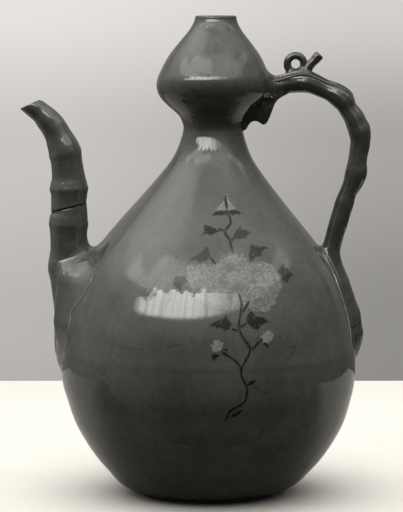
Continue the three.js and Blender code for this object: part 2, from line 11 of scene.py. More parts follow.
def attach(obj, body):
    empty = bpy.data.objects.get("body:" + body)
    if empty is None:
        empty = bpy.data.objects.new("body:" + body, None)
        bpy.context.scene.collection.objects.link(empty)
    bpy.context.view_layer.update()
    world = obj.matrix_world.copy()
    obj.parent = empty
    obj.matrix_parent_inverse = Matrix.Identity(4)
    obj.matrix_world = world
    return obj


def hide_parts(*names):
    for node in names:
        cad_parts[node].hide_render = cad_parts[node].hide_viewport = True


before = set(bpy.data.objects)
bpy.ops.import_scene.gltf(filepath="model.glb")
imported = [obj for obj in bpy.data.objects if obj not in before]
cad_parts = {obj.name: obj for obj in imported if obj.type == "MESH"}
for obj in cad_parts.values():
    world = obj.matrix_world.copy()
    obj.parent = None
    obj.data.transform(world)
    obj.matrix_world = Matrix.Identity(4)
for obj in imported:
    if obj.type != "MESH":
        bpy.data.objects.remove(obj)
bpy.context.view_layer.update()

mm = 0.001
body = "root"


# Small tools
def mix(low, high, share):
    return low + share * (high - low)


def smoothShare(value):
    value = min(max(value, 0.0), 1.0)
    return value * value * (3 - 2 * value)


# Soft bumps and hollows: layers of noise, each with its rise and its size in millimetres.
def uneven(place, layers):
    return sum(rise * noise.noise(place / size) for rise, size in layers)


# Noise over a flat drawing. The level keeps two such patterns apart.
def noiseAt(x, z, level, size):
    return noise.noise(Vector((x / size, z / size, level)))


# Noise round a ring, the finer the larger count is
def noiseRound(turn, count, level):
    return noise.noise(Vector((count * math.cos(turn), count * math.sin(turn), level)))


def bell(off, width):
    return math.exp(-(off / width) ** 2)


def objectMode():
    bpy.ops.object.mode_set(mode="OBJECT")


def editMode(action="SELECT"):
    bpy.ops.object.mode_set(mode="EDIT")
    bpy.ops.mesh.select_all(action=action)


def deselectAll():
    if bpy.context.object and bpy.context.object.mode != "OBJECT":
        objectMode()
    bpy.ops.object.select_all(action="DESELECT")


def pick(piece):
    deselectAll()
    piece.select_set(True)
    bpy.context.view_layer.objects.active = piece


def applyAll(piece):
    pick(piece)
    for modifier in list(piece.modifiers):
        bpy.ops.object.modifier_apply(modifier=modifier.name)


def smoothFaces(piece, degrees):
    pick(piece)
    bpy.ops.object.shade_smooth_by_angle(angle=math.radians(degrees))


def bakePlace():
    bpy.ops.object.transform_apply(location=True, rotation=True, scale=True)


def facesOutwards(piece):
    pick(piece)
    editMode()
    bpy.ops.mesh.remove_doubles(threshold=0.01 * mm)
    bpy.ops.mesh.normals_make_consistent(inside=False)
    objectMode()
    return piece


def markPoints(piece, name, values):
    piece.data.attributes.new(name, "FLOAT", "POINT").data.foreach_set("value", values)


def meshPiece(name, vertices, faces):
    mesh = bpy.data.meshes.new(name)
    mesh.from_pydata(vertices, [], faces)
    piece = bpy.data.objects.new(name, mesh)
    bpy.context.scene.collection.objects.link(piece)
    return piece


def finishPiece(piece, name, material, nodes, angle=35):
    piece.name = name
    piece.data.name = name
    piece.data.materials.clear()
    piece.data.materials.append(material)
    smoothFaces(piece, angle)
    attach(piece, body)
    if nodes:
        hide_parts(*nodes)


# A smooth curve through the points, which are tuples of numbers. Each gap gets so many parts.
def smoothRun(points, parts):
    count = len(points)
    run = []
    for i in range(count - 1):
        around = [points[max(i - 1, 0)], points[i], points[i + 1], points[min(i + 2, count - 1)]]
        for j in range(parts):
            t = j / parts
            run.append(tuple(
                0.5 * (2 * b + (c - a) * t + (2 * a - 5 * b + 4 * c - d) * t * t
                       + (3 * b - a - 3 * c + d) * t * t * t)
                for a, b, c, d in zip(*around)))
    run.append(tuple(points[-1]))
    return run


# The vessel's outline, which every other piece sits on
vessel = {
    "footRadius": 48.5,
    # height and radius, from the top of the foot ring to the rim
    "outline": [
        (2.4, 49.8), (4, 56), (6.5, 61.8), (10, 66.5), (16, 72), (26, 80.8), (38, 89), (52, 96.4),
        (68, 101.5), (79, 104.2), (90, 105), (100, 104.7), (106, 104.2), (124, 101.1), (142, 96),
        (160, 88.7), (178, 77.4), (196, 62.9), (212, 49.4), (226, 37.9), (238, 29.2), (248, 24.5),
        (259, 21.4), (264, 21.8), (269, 24), (273, 28), (277, 32.6), (281, 36.4), (285, 39),
        (289, 40.2), (292.5, 40.4), (296.5, 39.7), (302, 37.5), (307.5, 34.9), (313, 31.7),
        (318.5, 27.6), (324, 23.2), (329, 19.2), (334, 16.2), (338.4, 14.6), (340, 13.3),
    ],
    "rowsPerGap": 5,
    "sides": 160,
    "maxRadius": 105,
    "waistHeight": 259,
    "leanDegrees": 2.1,
    "leanStart": 170,
    "leanBend": 50,
    # how far the turning strays across, by height
    "sway": [(0, 0), (6, 0.1), (14, 0.6), (24, 0.9), (52, 0.8), (68, 0.5), (88, 0), (130, 0),
             (192, 0), (212, 0.6), (228, 0.95), (244, 1.2), (260, 0.9), (280, 0.1), (290, 0), (340, 0)],
    "swayParts": 6,
    "lowerWall": 6,
    "upperWall": 4.5,
    "floor": 8,
    "footWidth": 5,
    "footHollow": 1.8,
    "mouthBore": 9.9,
    "wallBlend": 32,
    # radius and height: the lip from the outside over its top into the mouth
    "lip": [(14.9, 338.4), (14.6, 339.2), (14, 339.8), (13.1, 340), (12.2, 340), (10.8, 339.7),
            (10.2, 339), (9.9, 337.6)],
    # where the inner wall ends, and from there how far inwards and above the floor its curve goes on
    "innerFoot": 14,
    "innerCurve": [(4, 2), (10, 0)],
    "spoutHole": {"radius": 7, "height": 146, "length": 24},
    "waver": 0.16,
    "waverSize": 40,
    "waverStart": 12,
}
outlineRows = [
    (z, min(r, vessel["maxRadius"])) for z, r in smoothRun(vessel["outline"], vessel["rowsPerGap"])]
swayRows = list(zip(*smoothRun(vessel["sway"], vessel["swayParts"])))


def radiusAt(height):
    if height <= outlineRows[0][0]:
        return outlineRows[0][1]
    for low, high in zip(outlineRows, outlineRows[1:]):
        if height <= high[0]:
            return mix(low[1], high[1], (height - low[0]) / (high[0] - low[0]))
    return outlineRows[-1][1]


def slopeAt(height):
    return (radiusAt(height + 1) - radiusAt(height - 1)) / 2


# How far across the middle stands: the neck leans, and the turning strays a little.
def leanAt(height):
    climb = max(height - vessel["leanStart"], 0)
    bent = min(climb, vessel["leanBend"])
    slope = math.tan(math.radians(vessel["leanDegrees"]))
    lean = slope * (bent * bent / (2 * vessel["leanBend"]) + (climb - bent))
    return lean + float(np.interp(height, *swayRows))


# The same values in tables, which are quicker to look up
tableStep = 0.5
tableHeights = [tableStep * row for row in range(681)]
radiusTable = [radiusAt(z) for z in tableHeights]
slopeTable = [slopeAt(z) for z in tableHeights]
leanTable = [leanAt(z) for z in tableHeights]


# A thrown and fired pot is never quite round: a shallow dent in millimetres, never a bulge.
def waver(x, y, z):
    v = vessel
    dent = noise.noise(Vector((x, y, z)) / v["waverSize"]) - 1
    return v["waver"] * dent * smoothShare(z / v["waverStart"])


# Distance in millimetres from the vessel's outside, less than zero inside it.
def vesselGap(x, y, z):
    place = min(max(z / tableStep, 0), len(radiusTable) - 1.1)
    row = int(place)
    radius = mix(radiusTable[row], radiusTable[row + 1], place - row) + waver(x, y, z)
    return (math.hypot(x - leanAt(z), y) - radius) / math.hypot(1, slopeTable[row])


# An open line of edges in edit mode, drawn by extruding one point.
def lineFrom(points):
    deselectAll()
    bpy.ops.mesh.primitive_plane_add(size=mm, location=(0, 0, 0))
    editMode()
    bpy.ops.mesh.merge(type="CENTER")
    x, z = points[0]
    bpy.ops.transform.translate(value=(x * mm, 0, z * mm))
    for (xa, za), (xb, zb) in zip(points, points[1:]):
        bpy.ops.mesh.extrude_region_move(
            TRANSFORM_OT_translate={"value": ((xb - xa) * mm, 0, (zb - za) * mm)})
    return bpy.context.object


# A turned wall from pairs of radius and height, leaning and a little uneven as the real one.
def turnOnWheel(points):
    piece = lineFrom(points)
    bpy.ops.mesh.select_all(action="SELECT")
    bpy.ops.mesh.spin(steps=vessel["sides"], angle=2 * math.pi, center=(0, 0, 0), axis=(0, 0, 1))
    objectMode()
    facesOutwards(piece)
    for vertex in piece.data.vertices:
        x, y, z = vertex.co / mm
        radius = math.hypot(x, y)
        if radius > 1:
            share = 1 + waver(x, y, z) / radius
            x, y = x * share, y * share
        vertex.co = Vector((x + leanAt(z), y, z)) * mm
    return piece


def innerRadius(height):
    share = smoothShare((height - vessel["waistHeight"]) / vessel["wallBlend"])
    wall = mix(vessel["lowerWall"], vessel["upperWall"], share)
    return max(radiusAt(height) - wall * math.hypot(1, slopeAt(height)), vessel["mouthBore"])


def makeLowerBulb():
    v = vessel
    waist = v["waistHeight"]
    foot, hollow = v["footRadius"], v["footHollow"]
    inside = foot - v["footWidth"]
    # the hollow base and the foot ring, whose edges are softened
    points = [(0, hollow), (inside - 0.6, hollow), (inside, hollow - 0.5), (inside, 0.4),
              (inside + 0.4, 0), (foot - 0.5, 0), (foot, 0.5)]
    points += [(r, z) for z, r in outlineRows if z < waist - 0.5]
    points += [(radiusAt(waist), waist), (innerRadius(waist), waist)]
    heights = [z for z, r in outlineRows if v["innerFoot"] < z < waist - 0.5]
    points += [(innerRadius(z), z) for z in heights[::-3]]
    start = innerRadius(v["innerFoot"])
    points += [(start - inwards, v["floor"] + up) for inwards, up in v["innerCurve"]]
    piece = turnOnWheel(points + [(0, v["floor"])])
    hole = v["spoutHole"]
    deselectAll()
    bpy.ops.mesh.primitive_cylinder_add(
        vertices=32, radius=hole["radius"] * mm, depth=hole["length"] * mm,
        location=(-radiusAt(hole["height"]) * mm, 0, hole["height"] * mm), rotation=(0, math.pi / 2, 0))
    cutter = bpy.context.object
    pick(piece)
    cut = piece.modifiers.new("spoutHole", "BOOLEAN")
    cut.object = cutter
    cut.operation = "DIFFERENCE"
    cut.solver = "EXACT"
    applyAll(piece)
    bpy.data.objects.remove(cutter)
    return piece


def makeUpperBulb():
    waist = vessel["waistHeight"]
    outer = [(r, z) for z, r in outlineRows if waist + 0.5 < z < 338]
    inner = [(innerRadius(z), z) for z, r in outlineRows if waist + 0.5 < z < 336]
    ends = [(innerRadius(waist), waist), (radiusAt(waist), waist)]
    return turnOnWheel(ends + outer + vessel["lip"] + inner[::-2] + ends[:1])


# Rolled clay: tubes drawn along a line of stations. A ring's frame is its centre, its direction
# across, in the plane of the drawing, and its direction along the tube.
def ringFrame(stations, i):
    before, after = stations[max(i - 1, 0)], stations[min(i + 1, len(stations) - 1)]
    along = Vector((after["x"] - before["x"], 0, after["z"] - before["z"]))
    if "heading" in stations[i]:
        turn = math.radians(stations[i]["heading"])
        along = Vector((math.cos(turn), 0, math.sin(turn)))
    elif stations[i].get("inside"):
        along.negate()
    along.normalize()
    centre = Vector((stations[i]["x"], 0, stations[i]["z"]))
    return centre, Vector((along.z, 0, -along.x)), along


# A closed tube. Rings are extruded one by one and then laid square to the line. The function shape
# gets a place with its station and its turn, and gives how far it stands out from the ring's oval.
def rollTube(stations, sides, shape):
    deselectAll()
    first = stations[0]
    bpy.ops.mesh.primitive_circle_add(vertices=sides, radius=10 * mm, fill_type="NGON",
                                      location=(first["x"] * mm, 0, first["z"] * mm))
    piece = bpy.context.object
    editMode()
    for a, b in zip(stations, stations[1:]):
        step = ((b["x"] - a["x"]) * mm, 0, (b["z"] - a["z"]) * mm)
        bpy.ops.mesh.extrude_region_move(TRANSFORM_OT_translate={"value": step})
    objectMode()
    bakePlace()
    vertices = piece.data.vertices
    for i, station in enumerate(stations):
        centre, across, along = ringFrame(stations, i)
        for vertex in vertices[i * sides:(i + 1) * sides]:
            offset = vertex.co / mm - centre
            turn = math.atan2(offset.y, offset.x)
            flat = across * station["half"] * math.cos(turn)
            flat += Vector((0, station["depth"] * math.sin(turn), 0))
            place = centre + flat
            place += flat.normalized() * shape(station, math.degrees(turn) % 360, place)
            place += along * station.get("wobble", lambda turn: 0)(turn)
            vertex.co = place * mm
    return piece


def turnedTube(stations, sides, shape):
    return facesOutwards(rollTube(stations, sides, shape))


# Distances in millimetres from a tube and from the vessel, for whole arrays of places
def tubeGaps(stations):
    table = np.array([(s["x"], s["z"], s["half"], s["depth"]) for s in stations])
    frames = [ringFrame(stations, i) for i in range(len(stations))]
    across = np.array([(f[1].x, f[1].z) for f in frames])
    along = np.array([(f[2].x, f[2].z) for f in frames])

    def gaps(x, y, z):
        nearest = np.full(x.shape, 1e9)
        index = np.zeros(x.shape, int)
        for i, (cx, cz, half, depth) in enumerate(table):
            far = (x - cx) ** 2 + (z - cz) ** 2
            closer = far < nearest
            nearest[closer] = far[closer]
            index[closer] = i
        ahead = (x - table[index, 0]) * along[index, 0] + (z - table[index, 1]) * along[index, 1]
        other = np.clip(index + np.where(ahead > 0, 1, -1), 0, len(table) - 1)
        length = np.hypot(table[other, 0] - table[index, 0], table[other, 1] - table[index, 1])
        share = np.clip(np.abs(ahead) / np.maximum(length, 0.001), 0, 1) * (other != index)
        middle = table[index] * (1 - share)[..., None] + table[other] * share[..., None]
        side = across[index] * (1 - share)[..., None] + across[other] * share[..., None]
        out = (x - middle[..., 0]) * side[..., 0] + (z - middle[..., 1]) * side[..., 1]
        ring = np.hypot(out / middle[..., 2], y / middle[..., 3])
        past = np.where(other == index, np.abs(ahead), 0)
        off = (ring - 1) * middle[..., 2]
        return np.hypot(np.maximum(off, 0), past) + np.minimum(off, 0)

    return gaps


def vesselGaps(x, y, z):
    lean = np.interp(z, tableHeights, leanTable)
    radius = np.interp(z, tableHeights, radiusTable)
    if x.ndim == 1:
        radius = radius + np.array([waver(*place) for place in zip(x, y, z)])
    else:
        radius = radius - vessel["waver"]
    return (np.hypot(x - lean, y) - radius) / np.hypot(1, np.interp(z, tableHeights, slopeTable))


def ringGaps(x, y, z):
    cx, cz = cordRing["centre"]
    tube = cordRing["thickness"] / 2
    return np.hypot(np.hypot(x - cx, z - cz) - cordRing["hole"] - tube, y) - tube


# A closed skin round all places whose value is below zero, on a grid of cubes
def skinRound(values, low, step):
    inside = values < 0
    nx, ny, nz = values.shape
    corners = [np.array((i, j, k)) for i in (0, 1) for j in (0, 1) for k in (0, 1)]
    count = sum(inside[i:nx - 1 + i, j:ny - 1 + j, k:nz - 1 + k].astype(int) for i, j, k in corners)
    mixed = (count > 0) & (count < 8)
    cells = np.argwhere(mixed)
    number = np.full(mixed.shape, -1)
    number[mixed] = np.arange(len(cells))
    total = np.zeros((len(cells), 3))
    hits = np.zeros(len(cells))
    for corner in corners:
        for axis in range(3):
            if corner[axis]:
                continue
            other = corner.copy()
            other[axis] = 1
            a = values[tuple((cells + corner).T)]
            b = values[tuple((cells + other).T)]
            crossed = (a < 0) != (b < 0)
            share = a[crossed] / (a[crossed] - b[crossed])
            total[crossed] += corner + share[:, None] * (other - corner)
            hits[crossed] += 1
    places = np.array(low) + (cells + total / hits[:, None]) * step
    faces = []
    for axis in range(3):
        one = np.eye(3, dtype=int)
        u, v = one[(axis + 1) % 3], one[(axis + 2) % 3]
        here = inside[:nx - one[axis][0], :ny - one[axis][1], :nz - one[axis][2]]
        there = inside[one[axis][0]:, one[axis][1]:, one[axis][2]:]
        edges = np.argwhere(here != there)
        edges = edges[np.all(edges - u - v >= 0, axis=1)]
        edges = edges[np.all(edges < np.array(number.shape), axis=1)]
        around = (edges, edges - u, edges - u - v, edges - v)
        faces += np.stack([number[tuple(e.T)] for e in around], axis=1).tolist()
    return places, faces


# The clay smoothed over the joint of two forms. It rises from both with no step, and its edges
# are hidden just below them. low and high are the corners of the space that is searched, and deep
# says how far the clay is buried in each form. A web is clay that gets wider towards the front and
# back, where the outline doesn't change: how much wider, its upper and lower height, and how gently.
luting = {"hidden": 0.05, "nudge": 0.05, "rounds": 4, "webStart": 3}


def makeFillet(first, second, soft, low, high, step, deep, web=(0, 0, 0, 1)):
    wide, top, end, run = web

    def field(x, y, z):
        a, b = first(x, y, z), second(x, y, z)
        lower = np.clip(np.minimum((top - z) / run, (z - end) / run), 0, 1)
        aside = np.clip((np.abs(y) - luting["webStart"]) / soft, 0, 1)
        reach = soft + wide * aside ** 1.5 * lower * lower * (3 - 2 * lower)
        blend = np.maximum(reach - np.abs(a - b), 0) / reach
        fade = np.clip(np.maximum(a, b) / reach, 0, 1.2) ** 6
        joined = np.minimum(a, b) - blend * blend * reach / 4 + luting["hidden"] * (1 + 6 * fade)
        return joined, np.maximum.reduce([np.maximum(a, b) - reach - step, -a - deep[0], -b - deep[1]])

    axes = [np.arange(lowest, highest, step) for lowest, highest in zip(low, high)]
    values = np.maximum(*field(*np.meshgrid(*axes, indexing="ij")))
    for side in (values[0], values[-1], values[:, 0], values[:, -1], values[:, :, 0], values[:, :, -1]):
        side[...] = np.maximum(side, 0.1)
    places, faces = skinRound(values, low, step)
    nudge = luting["nudge"]
    for turn in range(luting["rounds"]):
        x, y, z = places.T
        own, limit = field(x, y, z)
        outer = limit < own + 0.5 * step
        beside = ((x + nudge, y, z), (x, y + nudge, z), (x, y, z + nudge))
        slope = np.stack([field(*spot)[0] - own for spot in beside], axis=1) / nudge
        far = own / np.maximum((slope ** 2).sum(axis=1), 0.2)
        move = np.clip(far, -step, step)[:, None] * slope
        places[outer] -= move[outer]
    return facesOutwards(meshPiece("fillet", (places * mm).tolist(), faces))


# The spout
spout = {
    # across, height and half width along the middle, from the belly to the mouth
    "stations": [
        (-93.2, 97, 11.4), (-93.6, 103, 13.4), (-95.3, 115, 13.6), (-97.2, 129.5, 12.4),
        (-99.2, 144, 12.3), (-99.8, 152, 12.9), (-100.4, 161.7, 14.2), (-100, 168, 13.4),
        (-99.4, 174, 13.2), (-99.5, 181, 13), (-99.5, 187.5, 13.4), (-99.4, 193.8, 14.25),
        (-99.1, 200, 13.3), (-99.2, 208, 12.8), (-99, 213.5, 13.2), (-99, 218.5, 13.8),
        (-99.3, 226, 11.95), (-100.5, 236, 11.4), (-101.9, 243.9, 11.85), (-104.2, 250.1, 10.85),
        (-106.7, 256.1, 9.55), (-109.9, 261.7, 9.15), (-114, 266.8, 8.85), (-118.6, 271.3, 7.7),
        (-122.2, 274.2, 7.5),
    ],
    "parts": 6,
    "sides": 96,
    "mouth": {"x": -126.3, "z": 277.6, "half": 7.75, "depth": 7.1, "degrees": 25, "ragged": 0.35},
    "wall": 3.1,
    "boreStart": 133,
    "breakHeight": 204.6,
    "breakDegrees": 15,
    "breakGap": 0.5,
    "breakReach": 7,
    "breakPlace": -99.2,
    "breakHalf": 13,
    "breakJag": 0.5,
    "dirtReach": 0.8,
    # rings at the break: how far they are from its edge and how much less their half width is, and
    # the same for the collar that fills the gap
    "edge": [(0.9, 0), (0.35, 0.1), (0, 0.45)],
    "collar": [(0, 0.75), (0.5, 0.8)],
    # rings of the lip: across and height from the mouth's middle, and how much less their half width is
    "lip": [(0.5, -0.6, 0), (0.1, -0.1, 0.25), (0, 0, 0.8), (0, 0, 2.4), (0.2, -0.2, 2.9)],
    # joints of the bamboo: height and depth of the scored line
    "joints": [(162.8, 0.1), (194.9, 0.18), (220, 0.18), (245.4, 0.12)],
    "jointWidth": 1.3,
    # how far the scored lines climb, and towards which side
    "jointSlant": (0.5, 40),
    # the ridge above each joint: rise, distance and width
    "ridge": (0.16, 2.8, 2.2),
    # layers of noise, and how far the surface is set back so that they don't make it wider
    "bumps": [(0.32, 11), (0.12, 4)],
    "sink": 0.15,
    "soft": 14.5,
    "calmOver": 7,
    # the web of clay at the front of the root
    "web": (24, 181, 98, 30),
}


def spoutLine():
    return [{"x": x, "z": z, "half": half, "depth": half} for x, z, half
            in smoothRun(spout["stations"], spout["parts"])]


# Scored joints, a faint ridge above each, and the potter's fingers all over.
def spoutShape(station, turn, place):
    s = spout
    slant, side = s["jointSlant"]
    rise, above, width = s["ridge"]
    out = uneven(place, s["bumps"]) - s["sink"]
    for height, depth in s["joints"]:
        off = station["z"] - height - slant * math.cos(math.radians(turn - side))
        out += rise * bell(off + above, width) - depth * bell(off, s["jointWidth"])
    return out * smoothShare((vesselGap(*place) - 0.75 * s["soft"]) / s["calmOver"])


# Height of the old break round the spout, above its middle.
def breakLine(turn):
    climb = math.tan(math.radians(spout["breakDegrees"])) * spout["breakHalf"]
    jag = noiseRound(turn, 2.4, 3) + 0.5 * noiseRound(turn, 7, 8)
    return climb * math.cos(turn) + spout["breakJag"] * jag


# Old dirt along the break, for the glaze
def markBreak(piece):
    dirt = []
    for vertex in piece.data.vertices:
        x, y, z = vertex.co / mm
        off = abs(z - spout["breakHeight"] - breakLine(math.atan2(y, x - spout["breakPlace"])))
        dirt.append(max(0, 1 - max(off - spout["breakGap"] / 2, 0) / spout["dirtReach"]))
    markPoints(piece, "dirt", dirt)


# The same stations inwards, from the last back to the first.
def boreLine(stations, wall):
    return [dict(s, half=s["half"] - wall, depth=s["depth"] - wall, inside=True)
            for s in stations[::-1]]


# Rings near the break lean over into its slope.
def bendToBreak(stations):
    for s in stations:
        near = smoothShare(1 - abs(s["z"] - spout["breakHeight"]) / spout["breakReach"])
        s["wobble"] = lambda turn, near=near: near * breakLine(turn)
    return stations


# A ring laid flat at the given height, with its half width cut down.
def flatRing(station, height, cut):
    return dict(station, z=height, half=station["half"] - cut, depth=station["depth"] - cut, heading=90)


def makeSpoutRoot():
    height = spout["breakHeight"] - spout["breakGap"] / 2
    line = spoutLine()
    below = [s for s in line if s["z"] < height - 1]
    last = min(line, key=lambda s: abs(s["z"] - height))
    top = [flatRing(last, height - under, cut) for under, cut in spout["edge"]]
    top += [flatRing(last, height + over, cut) for over, cut in spout["collar"]]
    inner = boreLine([s for s in below if s["z"] > spout["boreStart"]][::3] + [last], spout["wall"])
    inner[0].update(z=height + spout["breakGap"], heading=90)
    return turnedTube(bendToBreak(below + top + inner), spout["sides"], outsideOnly(spoutShape))


def outsideOnly(shape):
    return lambda station, turn, place: 0 if station.get("inside") else shape(station, turn, place)


def makeSpoutTip():
    mouth = spout["mouth"]
    height = spout["breakHeight"] + spout["breakGap"] / 2
    line = spoutLine()
    above = [s for s in line if s["z"] > height + 1]
    last = min(line, key=lambda s: abs(s["z"] - height))
    start = [flatRing(last, height + over, cut) for over, cut in spout["edge"][::-1]]
    ragged = lambda turn: mouth["ragged"] * noiseRound(turn, 3, 1)
    lip = [dict(x=mouth["x"] + dx, z=mouth["z"] + dz, half=mouth["half"] - cut,
                depth=mouth["depth"] - cut, heading=90 + mouth["degrees"], wobble=ragged,
                inside=cut > 0) for dx, dz, cut in spout["lip"]]
    inner = boreLine([last] + above[::3], spout["wall"])
    inner[-1].update(z=height, heading=90)
    stations = bendToBreak(start + above) + lip + bendToBreak(inner)
    piece = rollTube(stations, spout["sides"], outsideOnly(spoutShape))
    closeTube(piece, spout["sides"])
    return piece


# Joins a tube's last ring to its first, for a wall that is open at both ends.
def closeTube(piece, sides):
    pick(piece)
    editMode("DESELECT")
    objectMode()
    for face in piece.data.polygons:
        face.select = len(face.vertices) == sides
    bpy.ops.object.mode_set(mode="EDIT")
    bpy.ops.mesh.delete(type="ONLY_FACE")
    bpy.ops.mesh.select_non_manifold()
    bpy.ops.mesh.bridge_edge_loops()
    bpy.ops.mesh.select_all(action="SELECT")
    bpy.ops.mesh.normals_make_consistent(inside=False)
    objectMode()


# The handle
handle = {
    # across, height and half width along the middle, from inside the upper bulb to the crotch
    "stations": [
        (28.3, 288.9, 8.5), (36.5, 288.4, 8.9), (44.1, 288.9, 8.9), (52, 291, 7.1),
        (60.6, 292.85, 7.65), (67.1, 293.3, 8.2), (73.3, 291.7, 7.4), (81.4, 288.2, 6.6),
        (88.8, 284.8, 7.5), (95.2, 280.1, 8.1), (98.5, 274.4, 6.95), (102.5, 268.7, 7.6),
        (105.2, 262.8, 7.9), (106.95, 258.1, 8.2), (107.7, 250.9, 7.45), (106.6, 243.7, 7),
        (105.5, 236.5, 7.2), (104.8, 229.4, 8.05), (102.8, 222.4, 7.55), (99.5, 215.3, 6.65),
        (96.8, 208, 7), (94.6, 200.9, 7), (92.6, 193.8, 7.1), (90.6, 186.8, 6.9),
        (88.7, 179.6, 6.5), (87.6, 172.4, 6.4),
    ],
    # along the belly: height, how far the middle stands off the belly, half width
    "tail": [(164.4, 2.5, 6.45), (157, 1.2, 6.6), (149.4, 0.8, 7.1), (142.9, 0.5, 7.1),
             (135.4, 0.3, 7.35), (128, 0.7, 8), (122.4, 0.5, 7.9)],
    "parts": 6,
    "sides": 72,
    "depthShare": 1.07,
    # knots of the branch: their place across and in height, half length, side and rise
    "knots": [(93.5, 287, 7, 180, 0.5), (112.5, 262, 7, 190, 0.34), (112, 228, 8, 175, 0.5)],
    # scored lines across the branch: their place, side, width in degrees and depth
    "scores": [(108.5, 258.6, 205, 50, 0.7), (108, 251.6, 190, 38, 0.35)],
    "scoreWidth": 0.9,
    "flute": 0.5,
    "fluteCount": 2.2,
    "fluteLength": 60,
    "bumps": [(0.35, 9), (0.1, 3)],
    "sink": 0.35,
    "soft": 7,
}


def handleLine():
    stations = [{"x": x, "z": z, "half": half} for x, z, half in handle["stations"]]
    for z, stand, half in handle["tail"]:
        stations.append({"x": radiusAt(z) + leanAt(z) + stand, "z": z, "half": half})
    run = smoothRun([(s["x"], s["z"], s["half"]) for s in stations], handle["parts"])
    return [{"x": x, "z": z, "half": half, "depth": half * handle["depthShare"]} for x, z, half in run]


branchLine = handleLine()


# Distance in millimetres from the branch's outside, less than zero inside it.
def branchGap(x, y, z):
    flat = y / handle["depthShare"]
    return min(math.sqrt((x - s["x"]) ** 2 + flat ** 2 + (z - s["z"]) ** 2) - s["half"]
               for s in branchLine[::2])


def turnsApart(turn, other):
    return abs((turn - other + 180) % 360 - 180)


# Branch bark: long soft flutes, knots, scored lines and an uneven surface.
def handleShape(station, turn, place):
    h = handle
    flute = noiseRound(math.radians(turn), h["fluteCount"], station["z"] / h["fluteLength"])
    out = h["flute"] * flute + uneven(place, h["bumps"]) - h["sink"]
    for x, z, size, middle, rise in h["knots"]:
        side = math.cos(math.radians(turn - middle))
        out += rise * bell(math.hypot(station["x"] - x, station["z"] - z), size) * max(side, 0) ** 2
    for x, z, middle, width, depth in h["scores"]:
        far = math.hypot(station["x"] - x, station["z"] - z)
        side = turnsApart(turn, middle) / width
        out -= depth * bell(far, h["scoreWidth"]) * math.exp(-side ** 4)
    return out * smoothShare((vesselGap(*place) - 0.75 * h["soft"]) / 4)


def makeBranch():
    return turnedTube(branchLine, handle["sides"], handleShape)


# The vine that lies along the handle's top
vine = {
    # station along the branch, turn round it, half width; it starts in a curl by the upper bulb
    "stations": [(10, 226, 0.7), (13, 224, 1.1), (17, 222, 1.3), (22, 218, 1.35), (27, 214, 1.3),
                 (32, 212, 1.3), (37, 210, 1.25), (42, 207, 1.25), (47, 204, 1.15), (52, 201, 0.9),
                 (55, 200, 0.4)],
    "parts": 6,
    # how far the two strands are turned from the middle between them, and how deep they lie
    "spread": 14.516,
    "sunk": 0.15,
    "sides": 14,
    "curl": {"centre": (44.6, 284.6), "radius": 2.3, "half": 1.0, "start": 300, "turn": -24,
             "count": 14, "tighter": 0.03, "front": 0.2},
}


# A place on the branch's outside, between its stations.
def onBranch(step, turn, stand):
    low = min(int(step), len(branchLine) - 2)
    share = step - low
    a, b = ringFrame(branchLine, low), ringFrame(branchLine, low + 1)
    centre, across = a[0].lerp(b[0], share), a[1].lerp(b[1], share).normalized()
    half = mix(branchLine[low]["half"], branchLine[low + 1]["half"], share)
    angle = math.radians(turn)
    out = across * math.cos(angle) + Vector((0, math.sin(angle) * handle["depthShare"], 0))
    return centre + out * (half + stand)


# A closed round strand through points in space, as a bevelled curve that is made a mesh.
def drawCord(points, halves, sides):
    deselectAll()
    bpy.ops.curve.primitive_nurbs_path_add()
    strand = bpy.context.object
    strand.data.splines.clear()
    spline = strand.data.splines.new("POLY")
    spline.points.add(len(points) - 1)
    for target, point, half in zip(spline.points, points, halves):
        target.co = (*(point * mm), 1)
        target.radius = half
    strand.data.bevel_depth = mm
    strand.data.bevel_resolution = sides // 4
    strand.data.use_fill_caps = True
    pick(strand)
    bpy.ops.object.convert(target="MESH")
    bakePlace()
    return bpy.context.object


# Two strands side by side, with a small curl at the start of the lower one.
def makeVine():
    strands = []
    line = smoothRun(vine["stations"], vine["parts"])
    for side in (-1, 1):
        halves = [half for step, turn, half in line]
        points = [onBranch(step, turn + vine["spread"] * side, -vine["sunk"] * half)
                  for step, turn, half in line]
        if side > 0:
            curl = vine["curl"]
            x, z = curl["centre"]
            y = points[0].y - curl["front"]
            for k in range(curl["count"]):
                angle = math.radians(curl["start"] + k * curl["turn"])
                reach = curl["radius"] * (1 - curl["tighter"] * k)
                points.insert(0, Vector((x + reach * math.cos(angle), y, z + reach * math.sin(angle))))
                halves.insert(0, curl["half"])
        strands.append(drawCord(points, halves, vine["sides"]))
    deselectAll()
    for strand in strands:
        strand.select_set(True)
    bpy.context.view_layer.objects.active = strands[0]
    bpy.ops.object.join()
    return facesOutwards(strands[0])


# The leaf sheath at the handle's foot
sheath = {
    # height, how far the middle stands off the belly, half width
    "stations": [(127.5, 0.4, 7.4), (125, 0.3, 7.6), (122.6, 0.2, 7.7), (119, -0.1, 7.9),
                 (115, -0.4, 8.3), (111, -1.3, 8.2), (107, -2.1, 7.6), (103.5, -2.9, 6.8),
                 (100, -3.8, 5.8), (97, -4.8, 4.4), (95.6, -5.4, 3.2)],
    "parts": 6,
    "sides": 96,
    "depthShare": 1.06,
    "ribs": 11,
    "ribDepth": 0.55,
    "ribWander": 0.25,
    # the raised edge: height, rise and width, and where the ribs begin
    "edge": (122.3, 0.35, 1.3),
    "ribStart": 126,
    "bumps": [(0.25, 6)],
    "sink": 0.2,
    "soft": 3.2,
}


def sheathLine():
    line = [(radiusAt(z) + stand, z, half) for z, stand, half in sheath["stations"]]
    return [{"x": x, "z": z, "half": half, "depth": half * sheath["depthShare"]}
            for x, z, half in smoothRun(line, sheath["parts"])]


